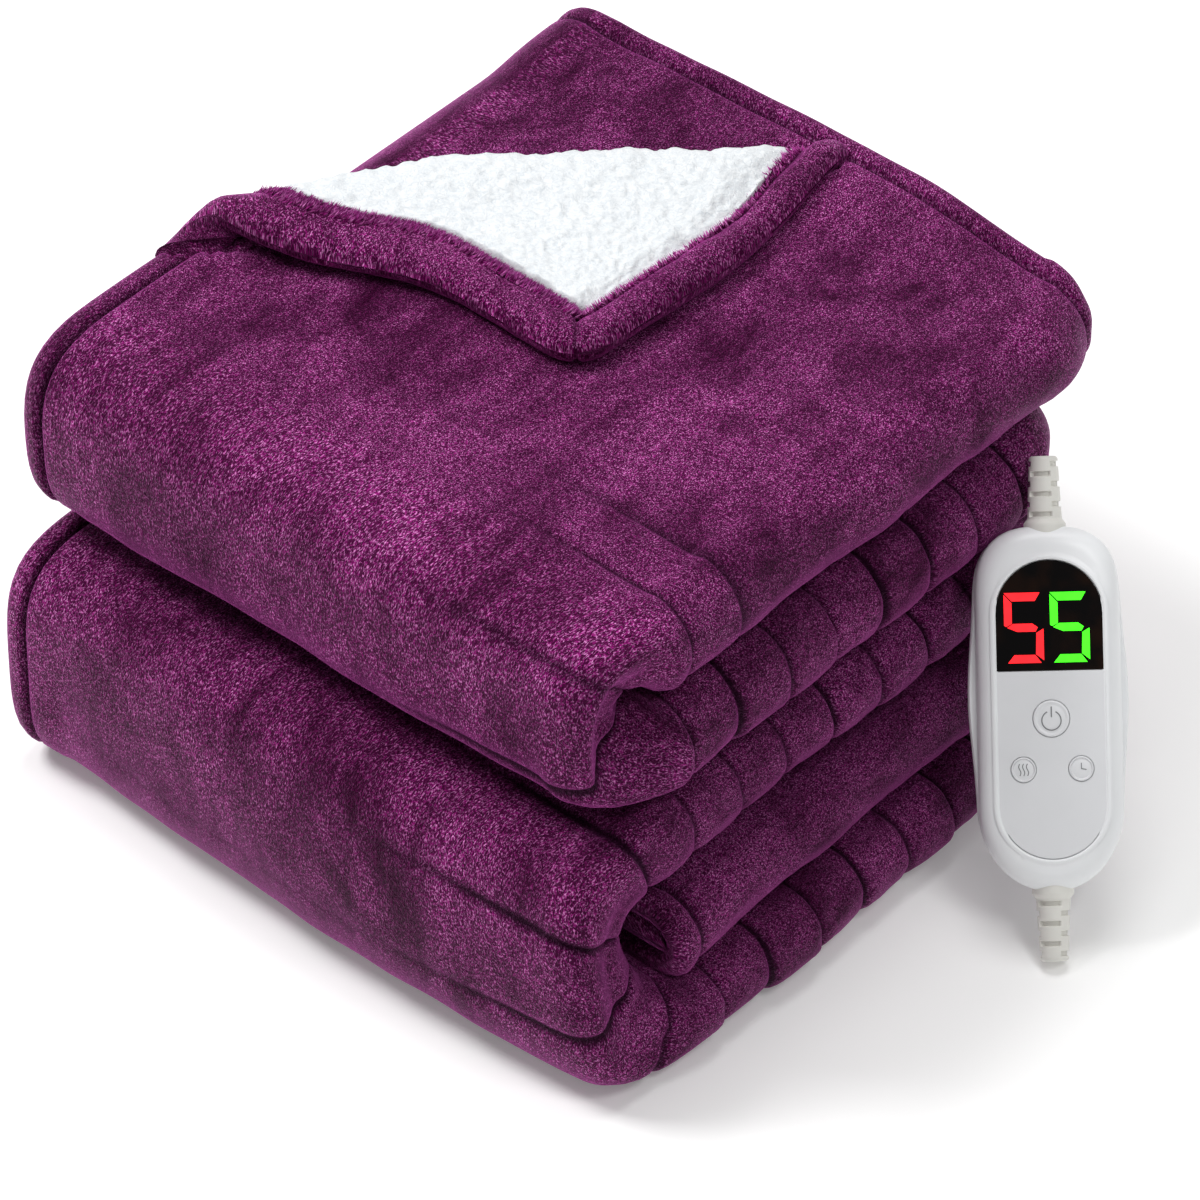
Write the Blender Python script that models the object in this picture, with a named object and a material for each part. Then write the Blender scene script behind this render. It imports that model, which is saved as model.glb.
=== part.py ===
"""A heated throw folded into a stack, with its handset propped against the stack's side.

The throw is one quilted sheet, flannel outside and sherpa inside. It is folded in three across its
width, and the band that this gives is folded back and forth into five layers. One corner of the
topmost ply is turned back, which shows the sherpa. The handset is a two-part housing with a face
panel, a display window, three push buttons and a strain relief at each end.

Units are metres and +Z is up. The stack's front folds face -Y and its closed side folds face +X.
"""

import math
from collections import namedtuple

import bmesh
import bpy
import numpy as np
from mathutils import Matrix, Vector

# Throw ------------------------------------------------------------------------------------------
LEFT_EDGE = -0.194  # x of the free hem and of the folded edge under it
BACK_EDGE = 0.190  # y of the top layer's hemmed end
HEM_WIDTH = 0.021
HEM_GROOVE = 0.0025  # depth of the hem's stitched groove
PLY_SLIT = 0.0012  # air between the free hem and the ply below it
CHANNEL = 0.030  # spacing of the stitched heating channels
SIDE_PINCH = 0.0040  # how far a stitch line draws the side folds in
FACE_PINCH = 0.0012  # how far it draws the faces in
UNSTITCHED_END = 0.245  # plain length at the sheet's first end, before the channels start
UNSTITCHED_TAIL = 0.300  # plain length at its other end
STEP = CHANNEL / 4

# One row for each layer of the band, from the top of the stack down.
Layer = namedtuple("Layer", "height half_thickness right_edge")
LAYERS = {
    "top": Layer(0.1905, 0.0225, 0.1255),
    "second": Layer(0.1420, 0.0225, 0.1300),
    "third": Layer(0.0965, 0.0185, 0.1300),
    "tucked": Layer(0.0560, 0.0190, 0.1400),
    "bottom": Layer(0.0182, 0.0182, 0.1510),
}
# One row for each fold, in the order in which the band runs through them. The turn is +1 where the
# band's outer ply stays outside. The power is 2 for a round fold and more for a squarer one. The
# draw is how far the closed side is drawn in at the fold's tip, and the belly how far the outer ply
# swells there.
Fold = namedtuple("Fold", "layer next_layer centre_y reach power turn draw belly")
FOLDS = [
    Fold("top", "second", -0.094, 0.049, 3.0, 1, 0.0, 0.002),
    Fold("second", "third", 0.131, 0.045, 2.6, -1, 0.024, 0.0),
    Fold("third", "bottom", -0.104, 0.059, 4.0, 1, 0.0, 0.007),
    Fold("bottom", "tucked", 0.139, 0.040, 2.6, 1, 0.010, 0.0),
]
TUCKED_END = -0.110  # y at which the last layer ends, inside the lower front fold
TUCKED_DROOP = 0.004
END_ROUNDING = 0.008
CORNER_PLAN = 0.014  # how far the top layer's back right corner is rounded off in plan
CORNER_RUN = 0.040
END_DROOP = 0.003

# Turned-back corner -------------------------------------------------------------------------------
FOLD_NORMAL = math.radians(133.6)  # direction from the stack's middle to the corner, square to the fold
FOLD_DISTANCE = 0.121  # distance of the fold line from the origin, along that direction
LEFT_BEND = -0.024  # how far the fold line bends off at its left end
BACK_BEND = 0.020  # and at its back end
BEND_RUN = 0.10
BACK_SINK = 0.005  # how far the roll sinks where it crosses the hemmed end
BACK_THINNING = 0.35  # the share of its thickness that the ply loses there
SPRUNG_EDGE = -0.184  # x of the folded edge behind the roll
ROLL = 0.0085  # radius of the ply's middle in the roll
SETTLE = 0.0035  # how far the turned corner sinks towards the layer under it
SETTLE_RUN = 0.040
CORNER_RADIUS = 0.025
SHERPA_STEP = 0.0060  # how far the flannel side is thinned where the sherpa panel lies
GAP = 0.0003

# Handset ------------------------------------------------------------------------------------------
HANDSET_FOOT = (0.2244, 0.030)  # x and y of the lower strain relief's tip
HANDSET_TURN = math.radians(43)  # turn of its face about the vertical, from facing -Y
HANDSET_LEAN = math.radians(49)  # slope of its long axis above the floor
RELIEF_LENGTH = 0.029
HOUSING_LENGTH = 0.152
HOUSING_START = RELIEF_LENGTH
HOUSING_END = HOUSING_START + HOUSING_LENGTH
HALF_WIDTH = 0.0302
TOP_END = 0.031  # length of the rounded upper end
TOP_POWER = 2.7
LOWER_END = 0.0355
LOWER_POWER = 2.05
GRIP_BULGE = 0.0032
GRIP_CENTRE = 0.110
GRIP_RUN = 0.031
FRONT_DEPTH = 0.0110
REAR_DEPTH = 0.0145
PANEL_WIDTH = 0.0450
PANEL_START = 0.0425
PANEL_END = 0.1670
WINDOW_START = 0.1209
PANEL_RECESS = 0.0015
PANEL_THICKNESS = 0.0012
BUTTON_HEIGHT = 0.0030
BUTTON_PROUD = 0.0006
POCKET_DEPTH = 0.0022
Button = namedtuple("Button", "name across along radius")
BUTTONS = [
    Button("power_button", 0.0, 0.1010, 0.0076),
    Button("heat_button", -0.0120, 0.0800, 0.0052),
    Button("timer_button", 0.0120, 0.0800, 0.0052),
]
RELIEF_BASE_RADIUS = 0.0088
RELIEF_NECK_RADIUS = 0.0072
RELIEF_TIP_RADIUS = 0.0060
RELIEF_SEAT = 0.0040  # how deep the strain relief sits in the housing
SLOT_ROWS = 6
SLOT_PITCH = 0.0042
SLOT_HEIGHT = 0.0021
SLOT_DEPTH = 0.0016


def clear_scene():
    for old in list(bpy.data.objects):
        bpy.data.objects.remove(old, do_unlink=True)


def new_collection(name):
    collection = bpy.data.collections.new(name)
    bpy.context.scene.collection.children.link(collection)
    return collection


def new_material(name, colour, roughness, metallic=0.0):
    material = bpy.data.materials.new(name)
    material.use_nodes = True
    shader = material.node_tree.nodes["Principled BSDF"]
    shader.inputs["Base Color"].default_value = (*colour, 1.0)
    shader.inputs["Roughness"].default_value = roughness
    shader.inputs["Metallic"].default_value = metallic
    return material


def smooth(mesh, degrees=40):
    mesh.shade_smooth()
    mesh.set_sharp_from_angle(angle=math.radians(degrees))


def loft(name, rings, collection, material=None):
    """A closed solid through a row of rings, each of the same number of points, with flat caps."""
    count, around = rings.shape[:2]
    index = np.arange(count * around).reshape(count, around)
    following = np.roll(index, -1, axis=1)
    sides = np.stack([index[:-1], following[:-1], following[1:], index[1:]], axis=-1)
    faces = sides.reshape(-1, 4).tolist()
    faces.append(index[0][::-1].tolist())
    faces.append(index[-1].tolist())
    mesh = bpy.data.meshes.new(name)
    mesh.from_pydata(rings.reshape(-1, 3).tolist(), [], faces)
    shell = bmesh.new()
    shell.from_mesh(mesh)
    bmesh.ops.triangulate(shell, faces=[face for face in shell.faces if len(face.verts) > 4])
    bmesh.ops.recalc_face_normals(shell, faces=shell.faces)
    shell.to_mesh(mesh)
    shell.free()
    smooth(mesh)
    obj = bpy.data.objects.new(name, mesh)
    collection.objects.link(obj)
    if material:
        mesh.materials.append(material)
    return obj


def as_guide(obj):
    obj.hide_render = True
    obj.display_type = "WIRE"
    return obj


def boolean(obj, operation, other):
    modifier = obj.modifiers.new(f"{operation.lower()} {other.name}", "BOOLEAN")
    modifier.operation = operation
    modifier.solver = "EXACT"
    modifier.object = other


# Throw: the band --------------------------------------------------------------------------------
def mix(first, second, share):
    return first + (second - first) * share


def smooth_step(share):
    share = np.clip(share, 0.0, 1.0)
    return share * share * (3.0 - 2.0 * share)


def layer_stations(layer, start_y, end_y, spacing):
    """Stations along a flat layer: y, z, heading, outer and inner thickness, right edge, belly."""
    row = LAYERS[layer]
    count = max(2, round(abs(end_y - start_y) / spacing) + 1)
    y = np.linspace(start_y, end_y, count)
    heading = np.full(count, math.pi if end_y < start_y else 2 * math.pi)
    same = np.ones(count)
    return np.stack(
        [
            y,
            same * row.height,
            heading,
            same * row.half_thickness,
            same * row.half_thickness,
            same * row.right_edge,
            same * 0.0,
        ],
        axis=1,
    )


def fold_stations(fold, spacing):
    """Stations round a fold: a half circle at mid-band, with a squarish outline outside it."""
    start = LAYERS[fold.layer]
    end = LAYERS[fold.next_layer]
    radius = abs(start.height - end.height) / 2
    centre_z = (start.height + end.height) / 2
    count = max(3, round(math.pi * radius / spacing) + 1)
    share = np.linspace(0.0, 1.0, count)
    first = math.pi if fold.centre_y < 0 else 2 * math.pi
    heading = first + fold.turn * math.pi * share
    normal_y = np.sin(heading)
    normal_z = -np.cos(heading)
    thickness = mix(start.half_thickness, end.half_thickness, share)
    height = radius + thickness
    outline = (
        np.abs(normal_y / fold.reach) ** fold.power + np.abs(normal_z / height) ** fold.power
    ) ** (-1 / fold.power)
    outside = outline - radius
    inside = np.minimum(thickness, radius - 0.0012)
    outer, inner = (outside, inside) if fold.turn > 0 else (inside, outside)
    y = fold.centre_y + fold.turn * radius * normal_y
    z = centre_z + fold.turn * radius * normal_z
    tip = np.sin(math.pi * share) ** 2
    right = mix(start.right_edge, end.right_edge, smooth_step(share)) - fold.draw * tip
    return np.stack([y, z, heading, outer, inner, right, fold.belly * tip], axis=1)


def band_stations():
    """All stations of the band, from the top layer's hem to the tucked end."""
    rows = []
    start_y = BACK_EDGE
    plain = 4 * STEP
    for fold in FOLDS:
        spacing = plain if fold.layer == "top" else 2 * STEP
        rows.append(layer_stations(fold.layer, start_y, fold.centre_y, spacing))
        rows.append(fold_stations(fold, STEP)[1:])
        start_y = fold.centre_y
    rows.append(layer_stations("tucked", start_y, TUCKED_END, plain)[1:])
    rows = [rows[0]] + [block if i % 2 else block[1:] for i, block in enumerate(rows[1:], 1)]
    stations = np.concatenate(rows)
    return with_round_ends(stations)


def with_round_ends(stations):
    """Adds the stations that round off the two ends and the hem's groove at the first one."""
    first = stations[0]
    toward = np.array([-1.0, 0, 0, 0, 0, 0, 0])
    head = []
    for run, share, groove in [
        (0.0, 0.50, 0.0),
        (0.0025, 0.86, 0.0),
        (END_ROUNDING, 1.0, 0.0),
        (HEM_WIDTH - 0.004, 1.0, 0.0),
        (HEM_WIDTH, 1.0, HEM_GROOVE),
        (HEM_WIDTH + 0.004, 1.0, 0.0),
    ]:
        row = first + toward * run
        row[3] = first[3] * share - groove
        row[4] = first[4] * share
        row[1] -= END_DROOP * (1 - smooth_step(run / CORNER_RUN))
        row[5] -= CORNER_PLAN * (1 - min(run / CORNER_RUN, 1.0)) ** 2
        head.append(row)
    droop = (stations[:, 2] > 2.5 * math.pi) & (stations[:, 0] < TUCKED_END + 0.05)
    stations[droop, 1] -= TUCKED_DROOP * smooth_step((TUCKED_END + 0.05 - stations[droop, 0]) / 0.05)
    last = stations[-1]
    tail = []
    for run, share in [(END_ROUNDING, 1.0), (0.0030, 0.86), (0.0, 0.50)]:
        row = last - toward * run
        row[3:5] = last[3:5] * share
        tail.append(row)
    body = stations[(stations[:, 0] < BACK_EDGE - HEM_WIDTH - 0.006) | (np.arange(len(stations)) > 10)]
    return np.concatenate([head, body[:-1], tail])


def stitch_pinch(length):
    """1 on a stitch line and 0 between lines, at each distance along the band."""
    total = length[-1]
    wave = (0.5 + 0.5 * np.cos(2 * math.pi * (length - UNSTITCHED_END) / CHANNEL)) ** 3
    quilted = (length > UNSTITCHED_END - 0.001) & (length < total - UNSTITCHED_TAIL)
    return wave * quilted


def band_ring(left, right, outer, inner, belly):
    """The band's cross-section as (x, n) points, going round it.

    n is the distance from mid-band, + towards the outer ply. The right end is one closed fold round
    all three plies. At the left end the two lower plies are joined by a fold, and the outer ply ends
    above it in a rolled hem.
    """
    half = (outer + inner) / 2
    middle = (outer - inner) / 2
    points = []
    for degrees in range(90, -91, -30):
        turn = math.radians(degrees)
        points.append((right - half + half * math.cos(turn), middle + half * math.sin(turn)))
    lower = half * 2 / 3
    flat_start = right - half
    flat_end = left + lower
    for share in (0.25, 0.5, 0.75):
        points.append((mix(flat_start, flat_end, share), -inner))
    for degrees in range(-90, -271, -45):
        turn = math.radians(degrees)
        points.append((left + lower + lower * math.cos(turn), -inner + lower + lower * math.sin(turn)))
    hem = (half * 2 / 3 - PLY_SLIT) / 2
    for degrees in (-90, -150, -210, -270):
        turn = math.radians(degrees)
        points.append((left + hem + hem * math.cos(turn), outer - hem + hem * math.sin(turn)))
    points.append((left + HEM_WIDTH - 0.004, outer))
    points.append((left + HEM_WIDTH, outer - HEM_GROOVE))
    points.append((left + HEM_WIDTH + 0.004, outer))
    for share in (0.25, 0.5, 0.75):
        points.append((mix(left + HEM_WIDTH, flat_start, share), outer + belly * math.sin(math.pi * share)))
    ring = np.array(points)
    ring[ring[:, 0] > flat_start, 1] += belly * 0.4 * (ring[ring[:, 0] > flat_start, 1] > 0)
    return ring


def throw_band(collection, material):
    stations = band_stations()
    steps = np.hypot(np.diff(stations[:, 0]), np.diff(stations[:, 1]))
    length = np.concatenate([[0.0], np.cumsum(steps)])
    pinch = stitch_pinch(length)
    resting = (stations[:, 1] < 0.02) & (stations[:, 0] > FOLDS[2].centre_y)
    rings = []
    for (y, z, heading, outer, inner, right, belly), drawn, rests in zip(stations, pinch, resting):
        outer -= 0.0 if rests else FACE_PINCH * drawn
        inner -= FACE_PINCH * drawn
        ring = band_ring(LEFT_EDGE, right - SIDE_PINCH * drawn, outer, inner, belly)
        normal_y = math.sin(heading)
        normal_z = -math.cos(heading)
        heights = np.maximum(z + normal_z * ring[:, 1], 0.0)
        rings.append(np.column_stack([ring[:, 0], y + normal_y * ring[:, 1], heights]))
    return loft("throw", np.array(rings), collection, material)


# Throw: the turned-back corner --------------------------------------------------------------------
PLY = LAYERS["top"].half_thickness * 2 / 3
PLY_HEIGHT = LAYERS["top"].height + LAYERS["top"].half_thickness - PLY / 2
ACROSS = np.array([math.cos(FOLD_NORMAL), math.sin(FOLD_NORMAL)])  # from the fold to the corner
ALONG = np.array([math.sin(FOLD_NORMAL), -math.cos(FOLD_NORMAL)])  # along the fold


def corner_limits(beyond):
    """Where the flat sheet's left and back edges lie along the fold, at a distance beyond it."""
    base = ACROSS * (beyond + FOLD_DISTANCE)
    low = (LEFT_EDGE - base[0]) / ALONG[0]
    high = (BACK_EDGE - base[1]) / ALONG[1]
    point = corner_point()
    centre = point - CORNER_RADIUS * math.sqrt(2)
    if beyond > centre + CORNER_RADIUS / math.sqrt(2):
        middle = (low + high) / 2
        width = math.sqrt(max(CORNER_RADIUS**2 - (beyond - centre) ** 2, 1e-6))
        low, high = middle - width, middle + width
    return low, high


def corner_point():
    """How far beyond the fold the sheet's square corner lies."""
    corner = np.array([LEFT_EDGE, BACK_EDGE])
    return float(corner @ ACROSS) - FOLD_DISTANCE


def back_share(along):
    return smooth_step(1.0 - (corner_limits(0.0)[1] - along) / BEND_RUN)


def bend(along):
    """How far the fold line leaves its straight course, at a place along it."""
    left_share = smooth_step(1.0 - (along - corner_limits(0.0)[0]) / BEND_RUN)
    return LEFT_BEND * left_share + BACK_BEND * back_share(along)


def sheet_place(row, along):
    """How far beyond the straight fold line a row of the turned corner lies, at a place along it."""
    following = 1.0 - smooth_step((row - math.pi * ROLL) / 0.06)
    return row + following * bend(along)


def row_limits(row):
    """Where a row meets the flat sheet's left and back edges."""
    limits = list(corner_limits(row))
    for _ in range(8):
        for side in (0, 1):
            limits[side] = corner_limits(sheet_place(row, limits[side]))[side]
    return limits


def sherpa_limits(row):
    """The sherpa's two edges along a row, and how far the flannel side is thinned between them."""
    low, high = row_limits(row)
    hem = HEM_WIDTH * math.sqrt(2)
    middle = (low + high) / 2
    half_width = max((high - low) / 2 - hem, 0.0005)
    step = SHERPA_STEP * min(half_width / 0.004, 1.0)
    return middle - half_width, middle + half_width, step


def sherpa_end():
    """How far beyond the fold the sherpa has narrowed to a blunt point."""
    low, high = corner_limits(0.0)
    return (high - low) / 2 - HEM_WIDTH * math.sqrt(2) - 0.004


def spaced(first, last):
    return [mix(first, last, share) for share in (0.2, 0.4, 0.6, 0.8)]


def roll_rows():
    return [math.pi * ROLL * k / 6 for k in range(1, 7)]


def flat_rows():
    return list(np.linspace(math.pi * ROLL, sherpa_end(), 7))[1:]


def turned(row, along, rise):
    """A point of the outer ply after its corner is rolled over the fold line and laid back."""
    shift = bend(along)
    rise *= 1.0 - BACK_THINNING * back_share(along)
    beyond = sheet_place(row, along) - shift
    if beyond <= 0:
        across, height = beyond, rise
    elif beyond < math.pi * ROLL:
        turn = beyond / ROLL
        across = (ROLL - rise) * math.sin(turn)
        height = ROLL - (ROLL - rise) * math.cos(turn)
    else:
        back = beyond - math.pi * ROLL
        across = -back
        height = 2 * ROLL - rise - SETTLE * smooth_step(back / SETTLE_RUN)
    height -= BACK_SINK * back_share(along) * min(max(beyond / ROLL, 0.0), 1.0)
    flat = ACROSS * (across + shift + FOLD_DISTANCE) + ALONG * along
    return flat[0], flat[1], PLY_HEIGHT + height


def turned_corner(collection):
    """The hemmed flannel ply of the corner, thinned on its sherpa side inside the hems."""
    end = corner_point() - CORNER_RADIUS * (math.sqrt(2) - 1) - 0.0006
    rings = []
    tip = list(np.linspace(sherpa_end(), end, 5))[1:]
    for row in [-0.012, -0.002, *roll_rows(), *flat_rows(), *tip]:
        low, high = row_limits(row)
        inset = 0.0008 if row < 0 else 0.0
        low += inset
        high -= inset
        half = PLY / 2 if row > 0 else PLY * 0.18
        inner_low, inner_high, step = sherpa_limits(row)
        step = step if row > 0 else 0.0004
        narrow = min(half, (high - low) / 4)
        ring = [
            (low + narrow, half),
            (low + narrow * 0.3, half * 0.7),
            (low, 0.0),
            (low + narrow * 0.3, -half * 0.7),
            (low + narrow, -half),
            (inner_low - 0.001 * (narrow / half), -half),
            (inner_low, -half + step),
            *[(along, -half + step) for along in spaced(inner_low, inner_high)],
            (inner_high, -half + step),
            (inner_high + 0.001 * (narrow / half), -half),
            (high - narrow, -half),
            (high - narrow * 0.3, -half * 0.7),
            (high, 0.0),
            (high - narrow * 0.3, half * 0.7),
            (high - narrow, half),
            *[(along, half) for along in spaced(inner_high, inner_low)],
        ]
        rings.append([turned(row, along, rise) for along, rise in ring])
    return as_guide(loft("turned_corner", np.array(rings), collection))


def sherpa_panel(collection, material):
    """The fleece that shows on the turned corner, from the roll to the hems."""
    half = PLY / 2
    top = -half + SHERPA_STEP - 2.2 * GAP
    rings = []
    for row in [*roll_rows(), *flat_rows()]:
        inner_low, inner_high, _ = sherpa_limits(row)
        low = inner_low + 0.0012
        high = inner_high - 0.0012
        edge = min(0.003, (high - low) / 8)
        ring = [
            (low, top),
            (low, -half + 0.0025),
            (low + edge, -half - 0.0003),
            *[(along, -half - 0.0006) for along in spaced(inner_low, inner_high)],
            (high - edge, -half - 0.0003),
            (high, -half + 0.0025),
            (high, top),
            *[(along, top) for along in spaced(inner_high, inner_low)],
        ]
        rings.append([turned(row, along, rise) for along, rise in ring])
    return loft("sherpa_panel", np.array(rings), collection, material)


def corner_cutter(collection):
    """A trench for the roll: the outer ply ends at its fold, and the ply under it springs up behind."""
    floor = PLY_HEIGHT - PLY / 2 - PLY_SLIT
    above = floor + 0.05
    low, high = corner_limits(0.0)
    rings = []
    for along in np.linspace(low - 0.03, high + 0.03, 25):
        ring = []
        for across, height in [
            (-0.001, above),
            (-0.001, floor),
            (0.012, floor),
            (0.018, floor + 0.004),
            (0.026, floor + 0.013),
            (0.034, above),
        ]:
            x, y = ACROSS * (FOLD_DISTANCE + bend(along) + across) + ALONG * along
            ring.append((x, y, height))
        rings.append(ring)
    return as_guide(loft("corner_cutter", np.array(rings), collection))


def edge_start():
    """The y at which the plain edge comes clear of the roll."""
    return (FOLD_DISTANCE + 0.022 - ACROSS[0] * (SPRUNG_EDGE + 0.029)) / ACROSS[1]


def edge_cutter(collection):
    """Removes the top layer's left edge behind the roll, through its whole thickness."""
    row = LAYERS["top"]
    low = row.height - row.half_thickness - 0.0015
    corners = [(LEFT_EDGE - 0.01, low), (SPRUNG_EDGE + 0.012, low)]
    corners += [(x, row.height + 0.06) for x, _ in reversed(corners)]
    rings = [[(x, y, z) for x, z in corners] for y in (edge_start(), BACK_EDGE + 0.01)]
    return as_guide(loft("edge_cutter", np.array(rings), collection))


def sprung_edge(collection):
    """Behind the roll the left edge is one plain fold of the plies, sprung up to full height."""
    row = LAYERS["top"]
    radius = row.half_thickness + 0.0003
    start = edge_start()
    rings = []
    for y, share, drop in [
        (start - 0.005, 0.50, 0.0),
        (start - 0.001, 0.90, 0.0),
        (start + 0.008, 1.0, 0.0),
        (BACK_EDGE - CORNER_RUN, 1.0, 0.0),
        (BACK_EDGE - END_ROUNDING, 1.0, END_DROOP * 0.6),
        (BACK_EDGE - 0.0025, 0.86, END_DROOP * 0.9),
        (BACK_EDGE - 0.0002, 0.50, END_DROOP),
    ]:
        ring = []
        for degrees in range(90, 271, 20):
            turn = math.radians(degrees)
            ring.append((radius * math.cos(turn), radius * math.sin(turn) * share))
        ring += [(0.006, -radius * share + 0.0006), (0.006, radius * share - 0.0006)]
        rings.append([(SPRUNG_EDGE + radius + x, y, row.height - drop + z) for x, z in ring])
    return as_guide(loft("sprung_edge", np.array(rings), collection))


# Handset ------------------------------------------------------------------------------------------
def power_quarter(power, count):
    """Cosine-like and sine-like values of a quarter superellipse, from its side to its end."""
    turns = np.linspace(0.0, math.pi / 2, count)
    return np.cos(turns) ** (2 / power), np.sin(turns) ** (2 / power)


def housing_outline(bulge):
    """The housing's outline in plan, anticlockwise, with bulge added to its sides at the grip."""
    top_centre = HOUSING_END - TOP_END
    low_centre = HOUSING_START + LOWER_END
    side, end = power_quarter(TOP_POWER, 8)
    upper = np.column_stack([HALF_WIDTH * side, top_centre + TOP_END * end])
    side, end = power_quarter(LOWER_POWER, 8)
    lower = np.column_stack([HALF_WIDTH * side, low_centre - LOWER_END * end])[::-1]
    flank_y = np.linspace(low_centre, top_centre, 7)[1:-1]
    flank = np.column_stack([np.full(len(flank_y), HALF_WIDTH), flank_y])
    right = np.concatenate([lower, flank, upper])
    right[:, 0] += bulge * np.exp(-(((right[:, 1] - GRIP_CENTRE) / GRIP_RUN) ** 2))
    right[0, 0] = 0.0
    right[-1, 0] = 0.0
    left = right[1:-1][::-1] * (-1, 1)
    return np.concatenate([right, left])


def housing_shell(name, bulge, levels, collection, material):
    """Half of the housing: rings of one outline, drawn in as the shell rounds over to its face."""
    outline = housing_outline(bulge)
    centre = np.array([0.0, (HOUSING_START + HOUSING_END) / 2])
    reach = np.abs(outline - centre).max(axis=0)
    rings = []
    for inset, height in levels:
        scaled = centre + (outline - centre) * (1 - inset / reach)
        rings.append(np.column_stack([scaled, np.full(len(scaled), height)]))
    return loft(name, np.array(rings), collection, material)


def arc(centre, radius, start, end, count):
    turns = np.radians(np.linspace(start, end, count))
    return [(centre[0] + radius * math.cos(t), centre[1] + radius * math.sin(t)) for t in turns]


def plate(name, outlines, low, thickness, collection, material):
    """A flat plate from closed outlines, the first outside and the others its holes."""
    curve = bpy.data.curves.new(name, "CURVE")
    curve.dimensions = "2D"
    curve.fill_mode = "BOTH"
    curve.extrude = thickness / 2
    for outline in outlines:
        spline = curve.splines.new("POLY")
        spline.points.add(len(outline) - 1)
        for point, (x, y) in zip(spline.points, outline):
            point.co = (x, y, 0.0, 1.0)
        spline.use_cyclic_u = True
    drawn = bpy.data.objects.new(name + "_outline", curve)
    bpy.context.scene.collection.objects.link(drawn)
    bpy.context.view_layer.update()
    mesh = bpy.data.meshes.new_from_object(drawn.evaluated_get(bpy.context.evaluated_depsgraph_get()))
    bpy.data.objects.remove(drawn)
    bpy.data.curves.remove(curve)
    shell = bmesh.new()
    shell.from_mesh(mesh)
    bmesh.ops.remove_doubles(shell, verts=shell.verts, dist=1e-6)
    bmesh.ops.recalc_face_normals(shell, faces=shell.faces)
    bmesh.ops.translate(shell, verts=shell.verts, vec=(0, 0, low + thickness / 2))
    shell.to_mesh(mesh)
    shell.free()
    obj = bpy.data.objects.new(name, mesh)
    collection.objects.link(obj)
    if material:
        mesh.materials.clear()
        mesh.materials.append(material)
    return obj


def turned_solid(name, profile, segments, collection, material=None):
    """A solid turned about its local Z axis, from (radius, height) points that start and end on it."""
    turns = np.linspace(0, 2 * math.pi, segments, endpoint=False)
    rings = [
        [(radius * math.cos(t), radius * math.sin(t), height) for t in turns]
        for radius, height in profile
    ]
    return loft(name, np.array(rings), collection, material)


def make_buttons(shell, collection, cutters, material):
    face = FRONT_DEPTH
    for button in BUTTONS:
        radius = button.radius
        low = face + BUTTON_PROUD - BUTTON_HEIGHT
        top = face + BUTTON_PROUD
        profile = [(radius, low), (radius, top - 0.0004),
                   (radius - 0.0005, top), (radius * 0.5, top - 0.0002)]
        cap = turned_solid(button.name, profile, 24, collection, material)
        cap.location = (button.across, button.along, 0.0)
        cap.parent = shell.parent
        pocket_floor = face - PANEL_RECESS - POCKET_DEPTH
        pocket = [(radius + GAP, pocket_floor), (radius + GAP, face + 0.002)]
        cutter = as_guide(turned_solid(button.name + "_pocket", pocket, 24, cutters))
        cutter.location = cap.location
        cutter.parent = shell.parent
        boolean(shell, "DIFFERENCE", cutter)


def panel_outlines():
    """The face panel's outline with its button holes, and the window's outline above it."""
    radius = PANEL_WIDTH / 2 - GAP
    low_centre = (0.0, PANEL_START + PANEL_WIDTH / 2)
    top_centre = (0.0, PANEL_END - PANEL_WIDTH / 2)
    panel = arc(low_centre, radius, 180, 360, 21)
    panel += [(radius, WINDOW_START - GAP / 2), (-radius, WINDOW_START - GAP / 2)]
    window = arc(top_centre, radius, 0, 180, 21)
    window += [(-radius, WINDOW_START + GAP / 2), (radius, WINDOW_START + GAP / 2)]
    holes = [
        arc((button.across, button.along), button.radius + GAP, 360, 15, 24) for button in BUTTONS
    ]
    return panel, holes, window


def make_relief(name, start, direction, parent, collection, cutters, material):
    """A tapered strain relief with rows of slots, each row a quarter turn from the one before."""
    length = RELIEF_LENGTH
    profile = [
        (RELIEF_BASE_RADIUS, -RELIEF_SEAT),
        (RELIEF_BASE_RADIUS, 0.0012),
        (RELIEF_NECK_RADIUS, 0.0030),
        (RELIEF_TIP_RADIUS, length - 0.0008),
        (RELIEF_TIP_RADIUS - 0.0008, length),
        (RELIEF_TIP_RADIUS - 0.0024, length),
        (RELIEF_TIP_RADIUS - 0.0026, length - 0.0010),
    ]
    relief = turned_solid(name, profile, 20, collection, material)
    relief.parent = parent
    relief.location = (0.0, start, 0.0)
    relief.rotation_euler = (-direction * math.pi / 2, 0.0, 0.0)
    for row in range(SLOT_ROWS):
        height = 0.0048 + row * SLOT_PITCH
        radius = mix(RELIEF_NECK_RADIUS, RELIEF_TIP_RADIUS, height / length)
        for side in (-1, 1):
            mesh = bpy.data.meshes.new(f"{name}_slot")
            cut = bmesh.new()
            bmesh.ops.create_cube(cut, size=1.0)
            size = (2 * SLOT_DEPTH, 1.15 * radius, SLOT_HEIGHT)
            bmesh.ops.scale(cut, verts=cut.verts, vec=size)
            bmesh.ops.translate(cut, verts=cut.verts, vec=(side * radius, 0.0, height))
            spin = Matrix.Rotation(math.pi / 2 * ((row + 1) % 2), 4, "Z")
            bmesh.ops.transform(cut, verts=cut.verts, matrix=spin)
            cut.to_mesh(mesh)
            cut.free()
            slot = as_guide(bpy.data.objects.new(f"{name}_slot_{row}_{side}", mesh))
            cutters.objects.link(slot)
            slot.parent = parent
            slot.location = relief.location
            slot.rotation_euler = relief.rotation_euler
            boolean(relief, "DIFFERENCE", slot)
    return relief


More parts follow.
